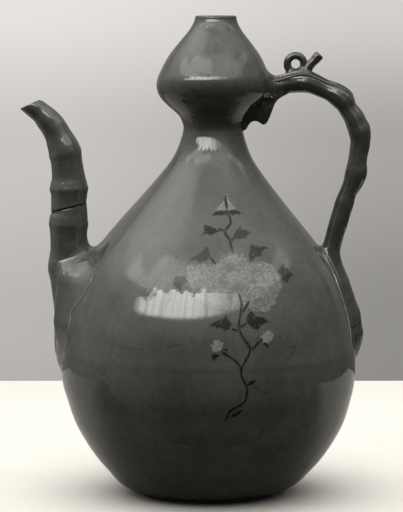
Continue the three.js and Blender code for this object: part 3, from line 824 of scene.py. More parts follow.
def makeSheath():
    s = sheath

    def ribbed(station, turn, place):
        height, rise, width = s["edge"]
        fade = smoothShare((s["ribStart"] - station["z"]) / 3)
        wander = s["ribWander"] * noise.noise(place / 8)
        rib = abs(math.sin(math.radians(turn) * s["ribs"] / 2 + wander))
        lift = rise * bell(station["z"] - height, width)
        out = fade * (lift - s["ribDepth"] * (1 - rib) ** 2) + uneven(place, s["bumps"]) - s["sink"]
        return out * smoothShare((vesselGap(*place) - 0.6 * s["soft"]) / 2)

    return turnedTube(sheathLine(), s["sides"], ribbed)


# The leaf that hangs under the handle's start
leaf = {
    # across and height, round its outline; its upper part is buried in the branch and the bulb
    "outline": [
        (30, 292), (40, 293), (52, 290), (57, 288), (56, 285), (52.6, 283.2), (49.8, 281.4),
        (47.6, 279), (46.1, 276), (44.9, 272.6), (43.7, 269.4), (42.4, 266.4), (41, 264),
        (38.9, 263.1), (37.2, 263.9), (35.2, 265.2), (33, 265.8), (30.4, 265), (28.4, 262.8),
        (26.4, 259.6), (22, 259), (20, 268), (24, 280),
    ],
    "parts": 5,
    "thickness": 13.5,
    "rounding": 4.2,
    "grain": 0.7,
    # veins: place across at the height they are measured from, slant, width and rise
    "veins": [(34, 0.35, 1.6, 0.8), (38.5, 0.3, 1.4, -0.4)],
    "veinHeight": 266,
    "veinEnd": 286,
    "bumps": [(0.5, 7)],
    # the leaf is thinner low down and at its right corner: share, from where, over how much
    "thinLow": (0.72, 263, 12),
    "thinRight": (0.78, 50, 4),
}


# A smooth closed outline through the points.
def roundRun(points, parts):
    count = len(points)
    run = smoothRun([points[-1]] + list(points) + [points[0], points[1]], parts)
    return run[parts:parts * (count + 1)]


def makeLeaf():
    outline = roundRun(leaf["outline"], leaf["parts"])
    deselectAll()
    bpy.ops.mesh.primitive_circle_add(vertices=len(outline), radius=mm, fill_type="NGON")
    piece = bpy.context.object
    for vertex, (x, z) in zip(piece.data.vertices, outline):
        vertex.co = Vector((x, leaf["thickness"] / 2, z)) * mm
    editMode()
    bpy.ops.mesh.extrude_region_move(TRANSFORM_OT_translate={"value": (0, -leaf["thickness"] * mm, 0)})
    objectMode()
    facesOutwards(piece)
    edge = piece.modifiers.new("rounding", "BEVEL")
    edge.width = leaf["rounding"] * mm
    edge.segments = 5
    edge.limit_method = "ANGLE"
    edge.angle_limit = math.radians(60)
    grain = piece.modifiers.new("grain", "REMESH")
    grain.mode = "VOXEL"
    grain.voxel_size = leaf["grain"] * mm
    calm = piece.modifiers.new("calm", "SMOOTH")
    calm.factor = 0.6
    calm.iterations = 6
    applyAll(piece)
    low, lowStart, lowRun = leaf["thinLow"]
    right, rightStart, rightRun = leaf["thinRight"]
    for vertex in piece.data.vertices:
        x, y, z = vertex.co / mm
        vein = sum(rise * bell(x - across - slant * (z - leaf["veinHeight"]), width)
                   for across, slant, width, rise in leaf["veins"])
        fold = vein * smoothShare((leaf["veinEnd"] - z) / 8)
        y += math.copysign(fold + uneven(Vector((x, y, z)), leaf["bumps"]), y)
        y *= mix(low, 1, smoothShare((z - lowStart) / lowRun))
        y *= mix(1, right, smoothShare((x - rightStart) / rightRun))
        vertex.co = Vector((x, y, z)) * mm
    return piece


# The cord ring and the cut twig
cordRing = {"centre": (61.6, 305.9), "hole": 3.15, "thickness": 5.4, "depth": 5.2, "turns": 72,
            "sides": 28, "bump": 0.09, "bumpSize": 5, "soft": 3.4}
twig = {
    "foot": (59.8, 292.2),
    "degrees": 47,
    "half": 3.5,
    # distance along and share of the half width, drawn as a smooth curve up to the cut end
    "stations": [(0, 1.1), (6, 1.05), (10, 1.02), (16, 1), (20, 0.98), (24, 1.04), (26.6, 1.06)],
    "cutEnd": [(27.4, 0.98), (27.9, 0.75), (28, 0.2)],
    "parts": 5,
    "sides": 40,
    # ridges of the bark: side, width in degrees and rise
    "ridges": [(205, 16, 0.28), (250, 14, 0.196)],
    "bumps": [(0.3, 3.5)],
    "cutBumps": [(0.25, 1.5)],
    "sink": 0.2,
    "calmAbove": 1.82,
    "soft": 3,
}


def makeRing():
    x, z = cordRing["centre"]
    tube = cordRing["thickness"] / 2
    major = cordRing["hole"] + tube
    deselectAll()
    bpy.ops.mesh.primitive_torus_add(
        major_radius=major * mm, minor_radius=tube * mm, major_segments=cordRing["turns"],
        minor_segments=cordRing["sides"], location=(x * mm, 0, z * mm), rotation=(math.pi / 2, 0, 0))
    piece = bpy.context.object
    bakePlace()
    for vertex in piece.data.vertices:
        place = vertex.co / mm
        flat = Vector((place.x - x, 0, place.z - z))
        middle = Vector((x, 0, z)) + flat.normalized() * major
        out = place - middle
        out.y *= cordRing["depth"] / cordRing["thickness"]
        calm = smoothShare((branchGap(*place) - 2.4) / 2)
        out *= 1 + cordRing["bump"] * calm * noise.noise(place / cordRing["bumpSize"])
        vertex.co = (middle + out) * mm
    return piece


def twigLine():
    angle = math.radians(twig["degrees"])
    x, z = twig["foot"]
    line, end = [[(x + t * math.cos(angle), z + t * math.sin(angle), twig["half"] * share)
                  for t, share in twig[key]] for key in ("stations", "cutEnd")]
    return [{"x": a, "z": b, "half": h, "depth": h} for a, b, h in smoothRun(line, twig["parts"]) + end]


def makeTwig():
    def bark(station, turn, place):
        if station["half"] < twig["half"] * 0.9:
            return uneven(place, twig["cutBumps"])
        ridge = sum(rise * bell(turnsApart(turn, side), width) for side, width, rise in twig["ridges"])
        calm = smoothShare((branchGap(*place) - twig["calmAbove"]) / 2)
        return calm * (ridge + uneven(place, twig["bumps"]) - twig["sink"])

    return turnedTube(twigLine(), twig["sides"], bark)


# The inlaid spray
spray = {
    "lift": 0.05,
    "thickness": 0.45,
    "grain": 1.1,
    "stemHalf": 0.95,
    "stemLift": 0.22,
    # share of a stem's half width at its ends, and how fast it grows from there
    "stemTaper": (0.55, 0.2),
    "stemBump": 0.35,
    "stemBumpSize": 3,
    "smooth": 4,
}

# Outlines in across and height
darkLeaves = {
    "bud_sepals": [
        (0.9, 202.9), (3.5, 204.6), (5.2, 206.2), (6.6, 205.6), (8.4, 206.6), (10.2, 205.6),
        (12.3, 206.4), (14, 205.8), (16.2, 207.2), (18.6, 206.3), (20.4, 205.9), (22.8, 204.4),
        (24.6, 204.2), (21.4, 203.2), (19, 203.6), (17.2, 202.6), (14.6, 203.4), (13.4, 202.3),
        (11, 203.3), (8.6, 202.4), (6.9, 203.2), (4.4, 202.6),
    ],
    "leaf_bud": [
        (-3.6, 196.4), (-2, 197.4), (-0.4, 196.3), (1.3, 196.5), (2.2, 195.2), (4.6, 195), (5.6, 193.6),
        (8.4, 193), (6.4, 191.9), (4.6, 191.5), (2.4, 190.2), (0.2, 190), (-1.4, 191.1), (-4.1, 190),
        (-6.6, 186.8), (-5.4, 190.8), (-3, 192.9), (-3.4, 194.2),
    ],
    "leaf_top_right": [
        (15.9, 187.4), (17.1, 190.2), (18.8, 193.7), (20.4, 194.6), (22.2, 196.4), (22.8, 193.8),
        (25.4, 193.6), (27.8, 192.2), (33, 191.2), (28.6, 190.7), (26.4, 189.4), (25.8, 187.8),
        (22.1, 187.5), (19, 187.6),
    ],
    "leaf_right": [
        (26.8, 177.2), (27.6, 179.8), (28.2, 182.6), (29.8, 184.6), (31, 182.8), (33, 183.2),
        (35.1, 182.1), (38, 182.6), (42.9, 180.6), (38.4, 180.4), (36.2, 178.6), (36.6, 176.4),
        (37.4, 173.2), (35, 176), (31.8, 175.6), (30.2, 173.4), (29.9, 169.9), (28.2, 171.6),
        (27.7, 174.4),
    ],
    "leaf_left": [
        (-14, 173.9), (-11.4, 176.4), (-8.4, 177.4), (-5.4, 179.3), (-2.5, 182.4), (-1.2, 183.4),
        (0.3, 181.4), (0.9, 177.8), (0.2, 175.6), (-1.8, 173.8), (-4.2, 173.4), (-6.2, 172.4),
        (-8.4, 174.2), (-11, 174),
    ],
    "leaf_far_right": [
        (46.2, 163.4), (46.8, 165.8), (48.4, 167.6), (50.8, 170.9), (51.9, 168.2), (54, 167.4),
        (56, 165), (60.6, 161.4), (57, 162.2), (55, 160.6), (54.4, 157.6), (52.4, 158.8),
        (50.2, 160.2), (48.4, 160.4), (47.6, 162.2),
    ],
    "leaf_far_left": [
        (-22.6, 163.4), (-19, 164), (-14.9, 163.7), (-13.2, 161.6), (-14.4, 159.6), (-16.8, 159.2),
        (-18.2, 157.4), (-19, 154.6), (-22.5, 153.4), (-22, 156.6), (-24.4, 158.2), (-24, 161),
    ],
    "leaf_pair_left": [
        (-1.4, 129.7), (0.4, 131.9), (2.6, 134), (4.8, 135), (7.2, 136), (9.6, 136.2), (10.8, 138.6),
        (12.3, 139.4), (12.8, 136.4), (14.4, 134.8), (15.8, 132.7), (14.6, 131), (14.4, 128.8),
        (12.4, 128.9), (10, 127.2), (9.6, 129.6), (7.4, 130.4), (5.6, 129.9), (3.6, 131.4),
        (1, 130.4),
    ],
    "leaf_pair_right": [
        (25, 134.8), (25.2, 137.4), (26.8, 140), (29.3, 141.2), (30.9, 138.9), (31.8, 137.4),
        (34.4, 137.3), (37.4, 136.6), (39, 134.8), (43.4, 132.9), (39.4, 132.6), (37.2, 131.9),
        (35, 130.8), (33.6, 128.2), (31.4, 128.8), (29.4, 129.2), (27.8, 131.4), (26, 132.6),
    ],
    "leaf_low_right": [(25.6, 90.4), (26, 92.6), (27.8, 94.9), (30.6, 95.2), (34, 96.6), (32.2, 94.2),
                       (30.4, 92.4), (28, 91.4)],
    "leaf_root": [(14.8, 70), (16.1, 72.6), (18.6, 73.2), (21, 75), (23.4, 76), (22.4, 73.6),
                  (20.6, 71.8), (18, 70.2), (16.2, 69.8)],
    "leaf_small": [(1.6, 112.6), (3.4, 113.6), (6, 113.2), (9.6, 113.6), (7.4, 111.4), (5, 110.2),
                   (3.4, 107.4), (2.2, 109.8)],
}
# Leaves that the potter laid on thinly, and how much
paleLeaves = {"leaf_top_right": 0.72, "leaf_right": 0.8, "leaf_left": 0.55, "leaf_far_left": 0.45,
              "leaf_far_right": 0.85}
bud = {
    "outline": [
        (3.6, 205.6), (6.2, 208.4), (8.6, 211), (10.4, 213.8), (11.7, 217.4), (12.9, 217.2),
        (14, 213.8), (15.8, 211.2), (18, 208.6), (20.2, 206), (16, 206), (12, 206.2), (7.4, 205.8),
    ],
    "ink": 0.9,
}
darkStems = {
    "stem_upper": [
        [(13.3, 203.5), (14.8, 200.9), (15, 197.9), (13.9, 196), (12.4, 194.6), (10.9, 192.7),
         (11.6, 190.8), (13.2, 188.8), (14.6, 186.5), (15.2, 183.8), (16.3, 179.4)],
        [(11.2, 192.5), (8.8, 193.8), (6.2, 193.6)],
        [(12, 216), (11.6, 213.2), (12.2, 210.2), (12.4, 206.8)],
        [(15.2, 187.2), (17.6, 187.5)],
        [(0.6, 176.6), (2.6, 174.4), (4.6, 171.6)],
    ],
    "stem_lower": [
        [(20.1, 152.8), (21.6, 148.6), (22.2, 144.5), (21.5, 139.9), (20.6, 135.1), (20.2, 131),
         (21.4, 126.7), (24, 122.4), (26.8, 118.6), (27.7, 115.6), (26.5, 111.5), (23.9, 107.1),
         (21.9, 103), (21.7, 100)],
        [(27.2, 147.6), (25, 143.6), (22.2, 139.8)],
        [(20.7, 128.8), (18.4, 128.6), (15.4, 129.8)],
        [(20.4, 130.4), (22.6, 131.4), (25.4, 133.4)],
        [(28.1, 115.9), (31, 117.4), (33.5, 120.4), (36.4, 122.2)],
        [(8.2, 115.4), (11.8, 112.6), (16.2, 110), (19.8, 106.4), (21.6, 102.6), (21.9, 98.4),
         (23.8, 94.4), (25.6, 90.8), (25.6, 85.5), (24.4, 81.4), (21.8, 78.8), (18.2, 77),
         (14.6, 74.6), (12.8, 71.5), (10.6, 67.8)],
        [(8.6, 115.4), (10.6, 115.8), (12.8, 116)],
        [(36.8, 119.4), (38.8, 118.4), (40.6, 116.6)],
    ],
}
peony = {
    "centre": (17, 160),
    # the blossom's edge: turn and reach, anticlockwise from the right
    "edge": [
        (-22, 31.4), (-14, 33.4), (-6, 34.2), (2, 33), (10, 31.4), (18, 29.8), (25, 28.6), (32, 24.6),
        (40, 20.4), (47, 17.2), (56, 16.6), (64, 18.8), (72, 19.6), (80, 18.6), (88, 19.2), (97, 19.8),
        (106, 19.4), (114, 19.9), (122, 18.2), (130, 17.2), (139, 19.4), (147, 22.4), (154, 27.8),
        (160, 33), (167, 34.8), (175, 32.6), (183, 31.4), (191, 30.2), (199, 28.4), (207, 26.4),
        (216, 24.6), (225, 22.4), (234, 20.6), (243, 19.8), (252, 19.4), (260, 18.2), (269, 18.9),
        (278, 17.6), (288, 19.6), (298, 21.4), (306, 24.8), (314, 29.4), (322, 31.8), (330, 32.6),
    ],
    # petals: from and to, in degrees, as far as the CAD's petals go
    "petals": [(-22, 16), (16, 52), (52, 119), (119, 158), (158, 206), (206, 264), (264, 338)],
    "step": 2,
    "petalStep": 1.5,
    "heart": 6.2,
    "heartPoints": 24,
    "heartNotch": 0.12,
    "heartLift": 0.12,
    "petalLift": 0.015,
    "overlap": 0.9,
    "grain": 0.75,
    # the frill of the edge: its depth in all, noise as share and degrees, and its scallops
    "frill": 3.2,
    "frillBumps": [(0.45, 5, 1), (0.35, 2, 4)],
    "scallop": (0.5, 180 / 13),
    # painted shade in the hollows between the petals: across, height and size
    "shadedHollows": [(15.5, 168.6, 3.2), (8, 160.4, 2.6), (19, 155.6, 3.4), (30, 160, 2.2),
                (-6, 160.6, 2.4), (34, 148, 2.2)],
    "hollowShade": 0.9,
    "thickness": 0.62,
    "bumps": [(0.3, 2.2, 9), (0.45, 7, 4)],
    # rows of folds, drawn in painted light: share of the blossom's reach, and petals in the row
    "rows": [(0.2, 4), (0.4, 6), (0.6, 9), (0.8, 11)],
    "rowTurn": 47,
    # each fold: rise, place and width of its painted highlight at the edge and of the painted shadow
    # line beside it
    "foldHighlightAndShadow": [(0.3, -0.7, 0.8), (-0.5, 0.45, 0.5)],
    # painted shadow between the petals of a row: its depth and width
    "foldGapShadow": (0.4, 0.2),
}
# across, height and radius
smallBlossoms = {"small_blossom_left": (5.5, 118.6, 4.6), "small_blossom_right": (39.5, 123.6, 4.8)}
rosettes = {"petals": 7, "seed": 0.3, "ink": 1.15, "body": 0.82, "petal": 0.2, "bump": 0.14}


# How far in front of the middle plane the belly's face lies.
def frontOf(x, z):
    radius = radiusAt(z)
    across = x - leanAt(z)
    y = -math.sqrt(max(radius * radius - across * across, 1))
    return y * (1 + waver(x, y, z) / radius)


def insideOutline(x, z, outline):
    hit = False
    for (xa, za), (xb, zb) in zip(outline, outline[1:] + outline[:1]):
        if (za > z) != (zb > z) and x < xa + (z - za) / (zb - za) * (xb - xa):
            hit = not hit
    return hit


def edgeDistance(x, z, outline):
    nearest = 1e9
    for (xa, za), (xb, zb) in zip(outline, outline[1:] + outline[:1]):
        dx, dz = xb - xa, zb - za
        share = min(max(((x - xa) * dx + (z - za) * dz) / (dx * dx + dz * dz + 1e-9), 0), 1)
        nearest = min(nearest, math.hypot(x - xa - share * dx, z - za - share * dz))
    return nearest


# The closed outline with a point at least every gap.
def spacedOut(outline, gap):
    points = []
    for (xa, za), (xb, zb) in zip(outline, outline[1:] + outline[:1]):
        steps = max(1, round(math.hypot(xb - xa, zb - za) / gap))
        points += [(mix(xa, xb, k / steps), mix(za, zb, k / steps)) for k in range(steps)]
    return points


# Slip in the belly's face: each outline is filled with small triangles laid on the curve. An
# outline that comes with a middle line, as a stem's does, needs no other points inside.
def inlayPiece(outlines, ink=1.0, lift=spray["lift"], rimOf=None, grain=spray["grain"]):
    vertices, faces, fades, foldShades = [], [], [], []
    for outline in outlines:
        middle = []
        if len(outline) == 2:
            outline, middle = outline
        else:
            outline = spacedOut(outline, grain)
        xs, zs = [p[0] for p in outline], [p[1] for p in outline]
        points = [Vector(p) for p in outline + middle]
        row = max(zs) if middle else min(zs)
        while row < max(zs):
            place = min(xs) + 0.5 * grain * (round(row / grain) % 2)
            while place < max(xs):
                inside = insideOutline(place, row, outline)
                if inside and edgeDistance(place, row, outline) > 0.45 * grain:
                    points.append(Vector((place, row)))
                place += grain
            row += grain * 0.87
        edges = [(i, (i + 1) % len(outline)) for i in range(len(outline))]
        made = delaunay_2d_cdt(points, edges, [], 1, 1e-6)
        start = len(vertices)
        for x, z in made[0]:
            y = frontOf(x, z)
            facing = Vector((x - leanAt(z), y, -radiusAt(z) * slopeAt(z))).normalized()
            vertices.append((Vector((x, y, z)) + facing * lift) * mm)
            fades.append(edgeDistance(x, z, rimOf or outline))
            # the fold attribute is partly real thick and thin slip, partly the peony's painted
            # highlights and shadows
            foldShades.append(petalFoldShading(x, z) if rimOf else 1)
        faces += [[start + i for i in face] for face in made[2]]
    piece = meshPiece("slip", vertices, faces)
    for name, values in (("rim", fades), ("ink", [ink] * len(vertices)), ("fold", foldShades)):
        markPoints(piece, name, values)
    pick(piece)
    editMode()
    bpy.ops.mesh.normals_make_consistent(inside=False)
    objectMode()
    if piece.data.polygons[0].normal.y > 0:
        piece.data.flip_normals()
    depth = piece.modifiers.new("depth", "SOLIDIFY")
    depth.thickness = spray["thickness"] * mm
    depth.offset = -1
    applyAll(piece)
    return piece


# A brushed line: outline and middle of a smooth curve, tapering at its ends and a little uneven.
def stemOutline(points, half, seed):
    line = smoothRun(points, spray["smooth"])
    least, growth = spray["stemTaper"]
    left, right = [], []
    for i, (x, z) in enumerate(line):
        xa, za = line[max(i - 1, 0)]
        xb, zb = line[min(i + 1, len(line) - 1)]
        length = math.hypot(xb - xa, zb - za)
        across = ((zb - za) / length, -(xb - xa) / length)
        taper = min(1, least + growth * min(i, len(line) - 1 - i))
        bump = noiseAt(x, z, seed, spray["stemBumpSize"])
        width = half * taper * (1 + spray["stemBump"] * bump)
        left.append((x + across[0] * width, z + across[1] * width))
        right.append((x - across[0] * width, z - across[1] * width))
    return left + right[::-1], line[1:-1]


def peonyEdge(degrees):
    edge = peony["edge"]
    turns = [e[0] for e in edge] + [edge[0][0] + 360]
    reaches = [e[1] for e in edge] + [edge[0][1]]
    degrees = (degrees - turns[0]) % 360 + turns[0]
    for i in range(len(turns) - 1):
        if degrees <= turns[i + 1]:
            return mix(reaches[i], reaches[i + 1], (degrees - turns[i]) / (turns[i + 1] - turns[i]))
    return reaches[-1]


def peonyPlace(degrees, reach):
    x, z = peony["centre"]
    turn = math.radians(degrees)
    return (x + reach * math.cos(turn), z + reach * math.sin(turn))


# The blossom's frilled edge
def peonyReach(degrees):
    p = peony
    share, width = p["scallop"]
    frill = sum(rise * noise.noise(Vector((degrees / size, level, 0)))
                for rise, size, level in p["frillBumps"])
    frill -= share * abs(math.cos(math.radians(degrees) * width)) ** 3
    return peonyEdge(degrees) + p["frill"] * frill


# How thickly the slip lies, partly real and partly painted light: crumpled rows of petals with a
# painted highlight at their edges, painted shadow lines between them and painted shade in the hollows
def petalFoldShading(x, z):
    p = peony
    away = Vector((x - p["centre"][0], z - p["centre"][1]))
    degrees = math.degrees(math.atan2(away.y, away.x))
    edge = peonyReach(degrees)
    reach = away.length + 2.0 * noiseAt(x, z, 2, 5)
    turn = degrees + 16 * noiseAt(x, z, 5, 7)
    fold = p["thickness"] + sum(rise * noiseAt(x, z, level, size) for rise, size, level in p["bumps"])
    # painted shade in the hollows between the petals
    for hollowX, hollowZ, size in p["shadedHollows"]:
        far = (x - hollowX) ** 2 + 2.5 * (z - hollowZ) ** 2
        fold -= p["hollowShade"] * math.exp(-far / size ** 2)
    gapShadow, gapWidth = p["foldGapShadow"]
    for k, (share, count) in enumerate(p["rows"]):
        wave = abs(math.sin(math.radians(turn + p["rowTurn"] * k) * count / 2))
        off = reach - edge * share * (0.9 + 0.16 * wave ** 0.6)
        # painted highlight inside each row's edge and painted shadow just outside it
        fold += sum(rise * bell(off - place, width) for rise, place, width in p["foldHighlightAndShadow"])
        # painted shadow between the petals of the row
        if -0.3 * edge < off < 0:
            fold -= gapShadow * bell(wave, gapWidth)
    return min(max(fold, 0), 1)


# One petal, a little wider than its share of the blossom, so that petals lie over each other
def petalOutline(start, end):
    steps = round((end - start) / peony["petalStep"])
    lap = peony["overlap"]
    ring = []
    for j in range(steps + 1):
        turn = mix(start, end, j / steps)
        reach = peonyReach(turn)
        ring.append(peonyPlace(turn + math.degrees(lap / reach) * (2 * j / steps - 1), reach))
    inner = peony["heart"] - lap
    for j in range(7):
        turn = mix(end, start, j / 6)
        ring.append(peonyPlace(turn + math.degrees(lap / inner) * (1 - j / 3), inner))
    return ring


# A small frilled blossom
def rosette(x, z, radius):
    r = rosettes
    count = 8 * r["petals"]
    ring = []
    for k in range(count):
        angle = 2 * math.pi * k / count
        petal = abs(math.sin(r["petals"] * angle / 2 + r["seed"]))
        reach = radius * (r["body"] + r["petal"] * petal + r["bump"] * noiseRound(angle, 2, r["seed"]))
        ring.append((x + reach * math.cos(angle), z + reach * math.sin(angle)))
    return ring


# Shader nodes, wired with a few short helpers
def addNode(tree, kind, values=None, **settings):
    node = tree.nodes.new(kind)
    for key, value in settings.items():
        setattr(node, key, value)
    for key, value in (values or {}).items():
        if isinstance(value, bpy.types.NodeSocket):
            tree.links.new(value, node.inputs[key])
        else:
            node.inputs[key].default_value = value
    return node


def calc(tree, operation, *values, clamp=False):
    return addNode(tree, "ShaderNodeMath", dict(enumerate(values)), operation=operation,
                   use_clamp=clamp).outputs[0]


def times(tree, first, *others):
    for value in others:
        first = calc(tree, "MULTIPLY", first, value)
    return first


def plus(tree, first, *others):
    for value in others:
        first = calc(tree, "ADD", first, value)
    return first


# From the low value to the high one, by a share
def between(tree, share, low, high):
    return plus(tree, times(tree, low, calc(tree, "SUBTRACT", 1.0, share)), times(tree, high, share))


def marked(tree, name):
    return addNode(tree, "ShaderNodeAttribute", attribute_name=name).outputs["Fac"]


def ease(tree, value, low, high, lowOut=0.0, highOut=1.0):
    node = addNode(tree, "ShaderNodeMapRange", {
        "Value": value, "From Min": low, "From Max": high, "To Min": lowOut, "To Max": highOut,
    }, interpolation_type="SMOOTHSTEP")
    return node.outputs["Result"]


def blendColour(tree, share, low, high):
    node = addNode(tree, "ShaderNodeMix", {"Factor": share}, data_type="RGBA")
    for key, value in (("A", low), ("B", high)):
        socket = [s for s in node.inputs if s.name == key and s.type == "RGBA"][0]
        if isinstance(value, bpy.types.NodeSocket):
            tree.links.new(value, socket)
        else:
            socket.default_value = (*value, 1)
    return [s for s in node.outputs if s.type == "RGBA"][0]


# The place on the piece in millimetres, stretched and turned where a pattern needs it
def placeInMm(tree, stretch=(1, 1, 1), turn=(0, 0, 0)):
    place = addNode(tree, "ShaderNodeTexCoord").outputs["Object"]
    scale = [s / mm for s in stretch]
    turned = addNode(tree, "ShaderNodeMapping", {
        "Vector": place, "Rotation": [math.radians(a) for a in turn], "Scale": scale})
    return turned.outputs[0]


# Scattered round dots. Only some of the cells have one: shuffle and some say which.
def dots(tree, place, cells, size, soft, shuffle, some):
    spots = addNode(tree, "ShaderNodeTexVoronoi", {"Vector": place, "Scale": 1 / cells})
    few = ease(tree, calc(tree, "FRACT", times(tree, spots.outputs["Color"], shuffle)), *some)
    near = ease(tree, spots.outputs["Distance"], soft * size / cells, size / cells, 1, 0)
    return times(tree, near, few)


def speckle(tree, place, size, detail=2.0, roughness=0.5):
    values = {"Vector": place, "Scale": 1 / size, "Detail": detail, "Roughness": roughness}
    return addNode(tree, "ShaderNodeTexNoise", values).outputs["Fac"]


# Thin lines of a net with cells of the given size, 1 on a line and 0 beside it
def netLines(tree, place, size, width, bend):
    wander = addNode(tree, "ShaderNodeTexNoise", {"Vector": place, "Scale": 1.6 / size, "Detail": 2.0})
    shifted = addNode(tree, "ShaderNodeVectorMath", {0: wander.outputs["Color"], 1: (bend,) * 3},
                      operation="MULTIPLY").outputs[0]
    moved = addNode(tree, "ShaderNodeVectorMath", {0: place, 1: shifted}, operation="ADD").outputs[0]
    cells = addNode(tree, "ShaderNodeTexVoronoi", {"Vector": moved, "Scale": 1 / size},
                    feature="DISTANCE_TO_EDGE")
    return ease(tree, cells.outputs["Distance"], 0, width / size, 1, 0)


# Glaze: colours are linear, sizes millimetres
glaze = {
    "thin": (0.122, 0.126, 0.112),
    "deep": (0.077, 0.079, 0.070),
    "cloud": 34,
    "curd": 5.5,
    "longCells": 33,
    "longWidth": 0.3,
    "longShare": 0.6,
    "longStretch": (1.0, 1.0, 0.45),
    "longTurn": (20, 38, 0),
    "longBend": 6,
    "longPatch": 26,
    "netCells": 8.5,
    "netWidth": 0.24,
    "netBend": 2.2,
    "netPatch": 18,
    "crackColour": (0.030, 0.030, 0.027),
    "pinholeCells": 4.2,
    "pinholeSize": 0.38,
    "pinholeShare": 0.8,
    "peel": 2.6,
    "peelRise": 0.010,
    "dent": 16,
    "dentRise": 0.05,
    "roughness": 0.42,
    "coatRoughness": 0.045,
    "coatIndex": 1.5,
    "coat": 1.0,
    "dirty": False,
    "dustCells": 5.0,
    "dustSize": 0.34,
    "dustColour": (0.26, 0.26, 0.24),
    "dirtColour": (0.012, 0.011, 0.01),
}


def glazeColour(tree, look):
    place = placeInMm(tree)
    cloud = ease(tree, speckle(tree, place, look["cloud"], 3.0, 0.55), 0.32, 0.68, 0, 0.7)
    curd = ease(tree, speckle(tree, place, look["curd"], 3.0, 0.6), 0.35, 0.7, 0, 0.3)
    colour = blendColour(tree, plus(tree, cloud, curd), look["deep"], look["thin"])
    slanted = placeInMm(tree, look["longStretch"], look["longTurn"])
    longLines = netLines(tree, slanted, look["longCells"], look["longWidth"], look["longBend"])
    broken = ease(tree, speckle(tree, place, look["longPatch"]), 0.42, 0.6)
    net = netLines(tree, place, look["netCells"], look["netWidth"], look["netBend"])
    patchy = ease(tree, speckle(tree, place, look["netPatch"]), 0.4, 0.62, 0.1, 0.6)
    lines = calc(tree, "MAXIMUM", times(tree, longLines, broken, look["longShare"]),
                 times(tree, net, patchy))
    colour = blendColour(tree, lines, colour, look["crackColour"])
    holes = dots(tree, place, look["pinholeCells"], look["pinholeSize"], 0.4, 7.3, (0.86, 0.9))
    colour = blendColour(tree, times(tree, holes, look["pinholeShare"]), colour, look["crackColour"])
    dust = dots(tree, place, look["dustCells"], look["dustSize"], 0.5, 5.1, (0.8, 0.86))
    return blendColour(tree, dust, colour, look["dustColour"])


# The glassy coat over a colour, with the gentle unevenness of fired glaze
def glassOver(material, colour, look):
    tree = material.node_tree
    place = placeInMm(tree)
    dents = times(tree, speckle(tree, place, look["dent"], 1.0), look["dentRise"])
    peel = times(tree, speckle(tree, place, look["peel"], 1.0), look["peelRise"])
    bump = addNode(tree, "ShaderNodeBump", {
        "Height": plus(tree, dents, peel), "Distance": mm, "Strength": 1.0})
    shader = tree.nodes["Principled BSDF"]
    tree.links.new(colour, shader.inputs["Base Color"])
    tree.links.new(bump.outputs[0], shader.inputs["Normal"])
    tree.links.new(bump.outputs[0], shader.inputs["Coat Normal"])
    for name, value in (("Roughness", look["roughness"]), ("Specular IOR Level", 0.0),
                        ("Coat Weight", look["coat"]), ("Coat Roughness", look["coatRoughness"]),
                        ("Coat IOR", look["coatIndex"])):
        shader.inputs[name].default_value = value
    if look["dirty"]:
        dirt = marked(tree, "dirt")
        tree.links.new(blendColour(tree, dirt, colour, look["dirtColour"]), shader.inputs["Base Color"])
        coat = calc(tree, "MULTIPLY_ADD", dirt, -look["coat"], look["coat"])
        tree.links.new(coat, shader.inputs["Coat Weight"])


def newMaterial(name):
    material = bpy.data.materials.new(name)
    material.use_nodes = True
    return material


def makeGlaze(name, **changes):
    look = dict(glaze, **changes)
    material = newMaterial(name)
    glassOver(material, glazeColour(material.node_tree, look), look)
    return material


# Slip under the glaze: it fades into the glaze at its rim and where it is thin. The attribute ink
# says how dark or pale the potter laid it on.
slip = {
    "thickWhite": (0.55, 0.54, 0.49),
    "grain": 2.2,
    "rimGrain": 1.3,
    # how thin the slip gets in places: the pattern's size and roughness, its span, the least share
    "lace": (1.2, 0.6, 0.34, 0.6, 0.25),
    "plain": (2.6, 0.5, 0.3, 0.5, 0.6),
    # two colours, the span over which the rim fades in, how ragged it is, and whether it has lace
    "white": (((0.24, 0.237, 0.21), (0.40, 0.392, 0.35)), (-0.3, 1.3), 1.9, True),
    "dark": (((0.005, 0.005, 0.005), (0.014, 0.0135, 0.012)), (-0.1, 0.65), 0.7, False),
}


def makeSlip(name, kind, **changes):
    colours, rimSpan, wander, lace = slip[kind]
    material = newMaterial(name)
    tree = material.node_tree
    place = placeInMm(tree)
    ground = glazeColour(tree, glaze)
    inlay = blendColour(tree, speckle(tree, place, slip["grain"], 3.0, 0.7), *colours)
    rim = marked(tree, "rim")
    ink = marked(tree, "ink")
    ragged = speckle(tree, place, slip["rimGrain"], 2.0)
    ragged = calc(tree, "MULTIPLY_ADD", ragged, wander, -wander / 2)
    share = times(tree, ease(tree, plus(tree, rim, ragged), *rimSpan), ink)
    size, roughness, low, high, least = slip["lace" if lace else "plain"]
    worn = speckle(tree, place, size, 2.0, roughness)
    share = times(tree, share, ease(tree, worn, low, high, least, 1.0))
    # on the peony the fold attribute thins the white slip into painted shadow lines and keeps it full
    # at painted highlights
    if lace:
        share = times(tree, share, calc(tree, "MULTIPLY_ADD", marked(tree, "fold"), 0.9, 0.1))
    inlay = blendColour(tree, ease(tree, ink, 1.0, 2.0), inlay, slip["thickWhite"])
    share = calc(tree, "MULTIPLY", share, 1.0, clamp=True)
    glassOver(material, blendColour(tree, share, ground, inlay), dict(glaze, **changes))
    return material


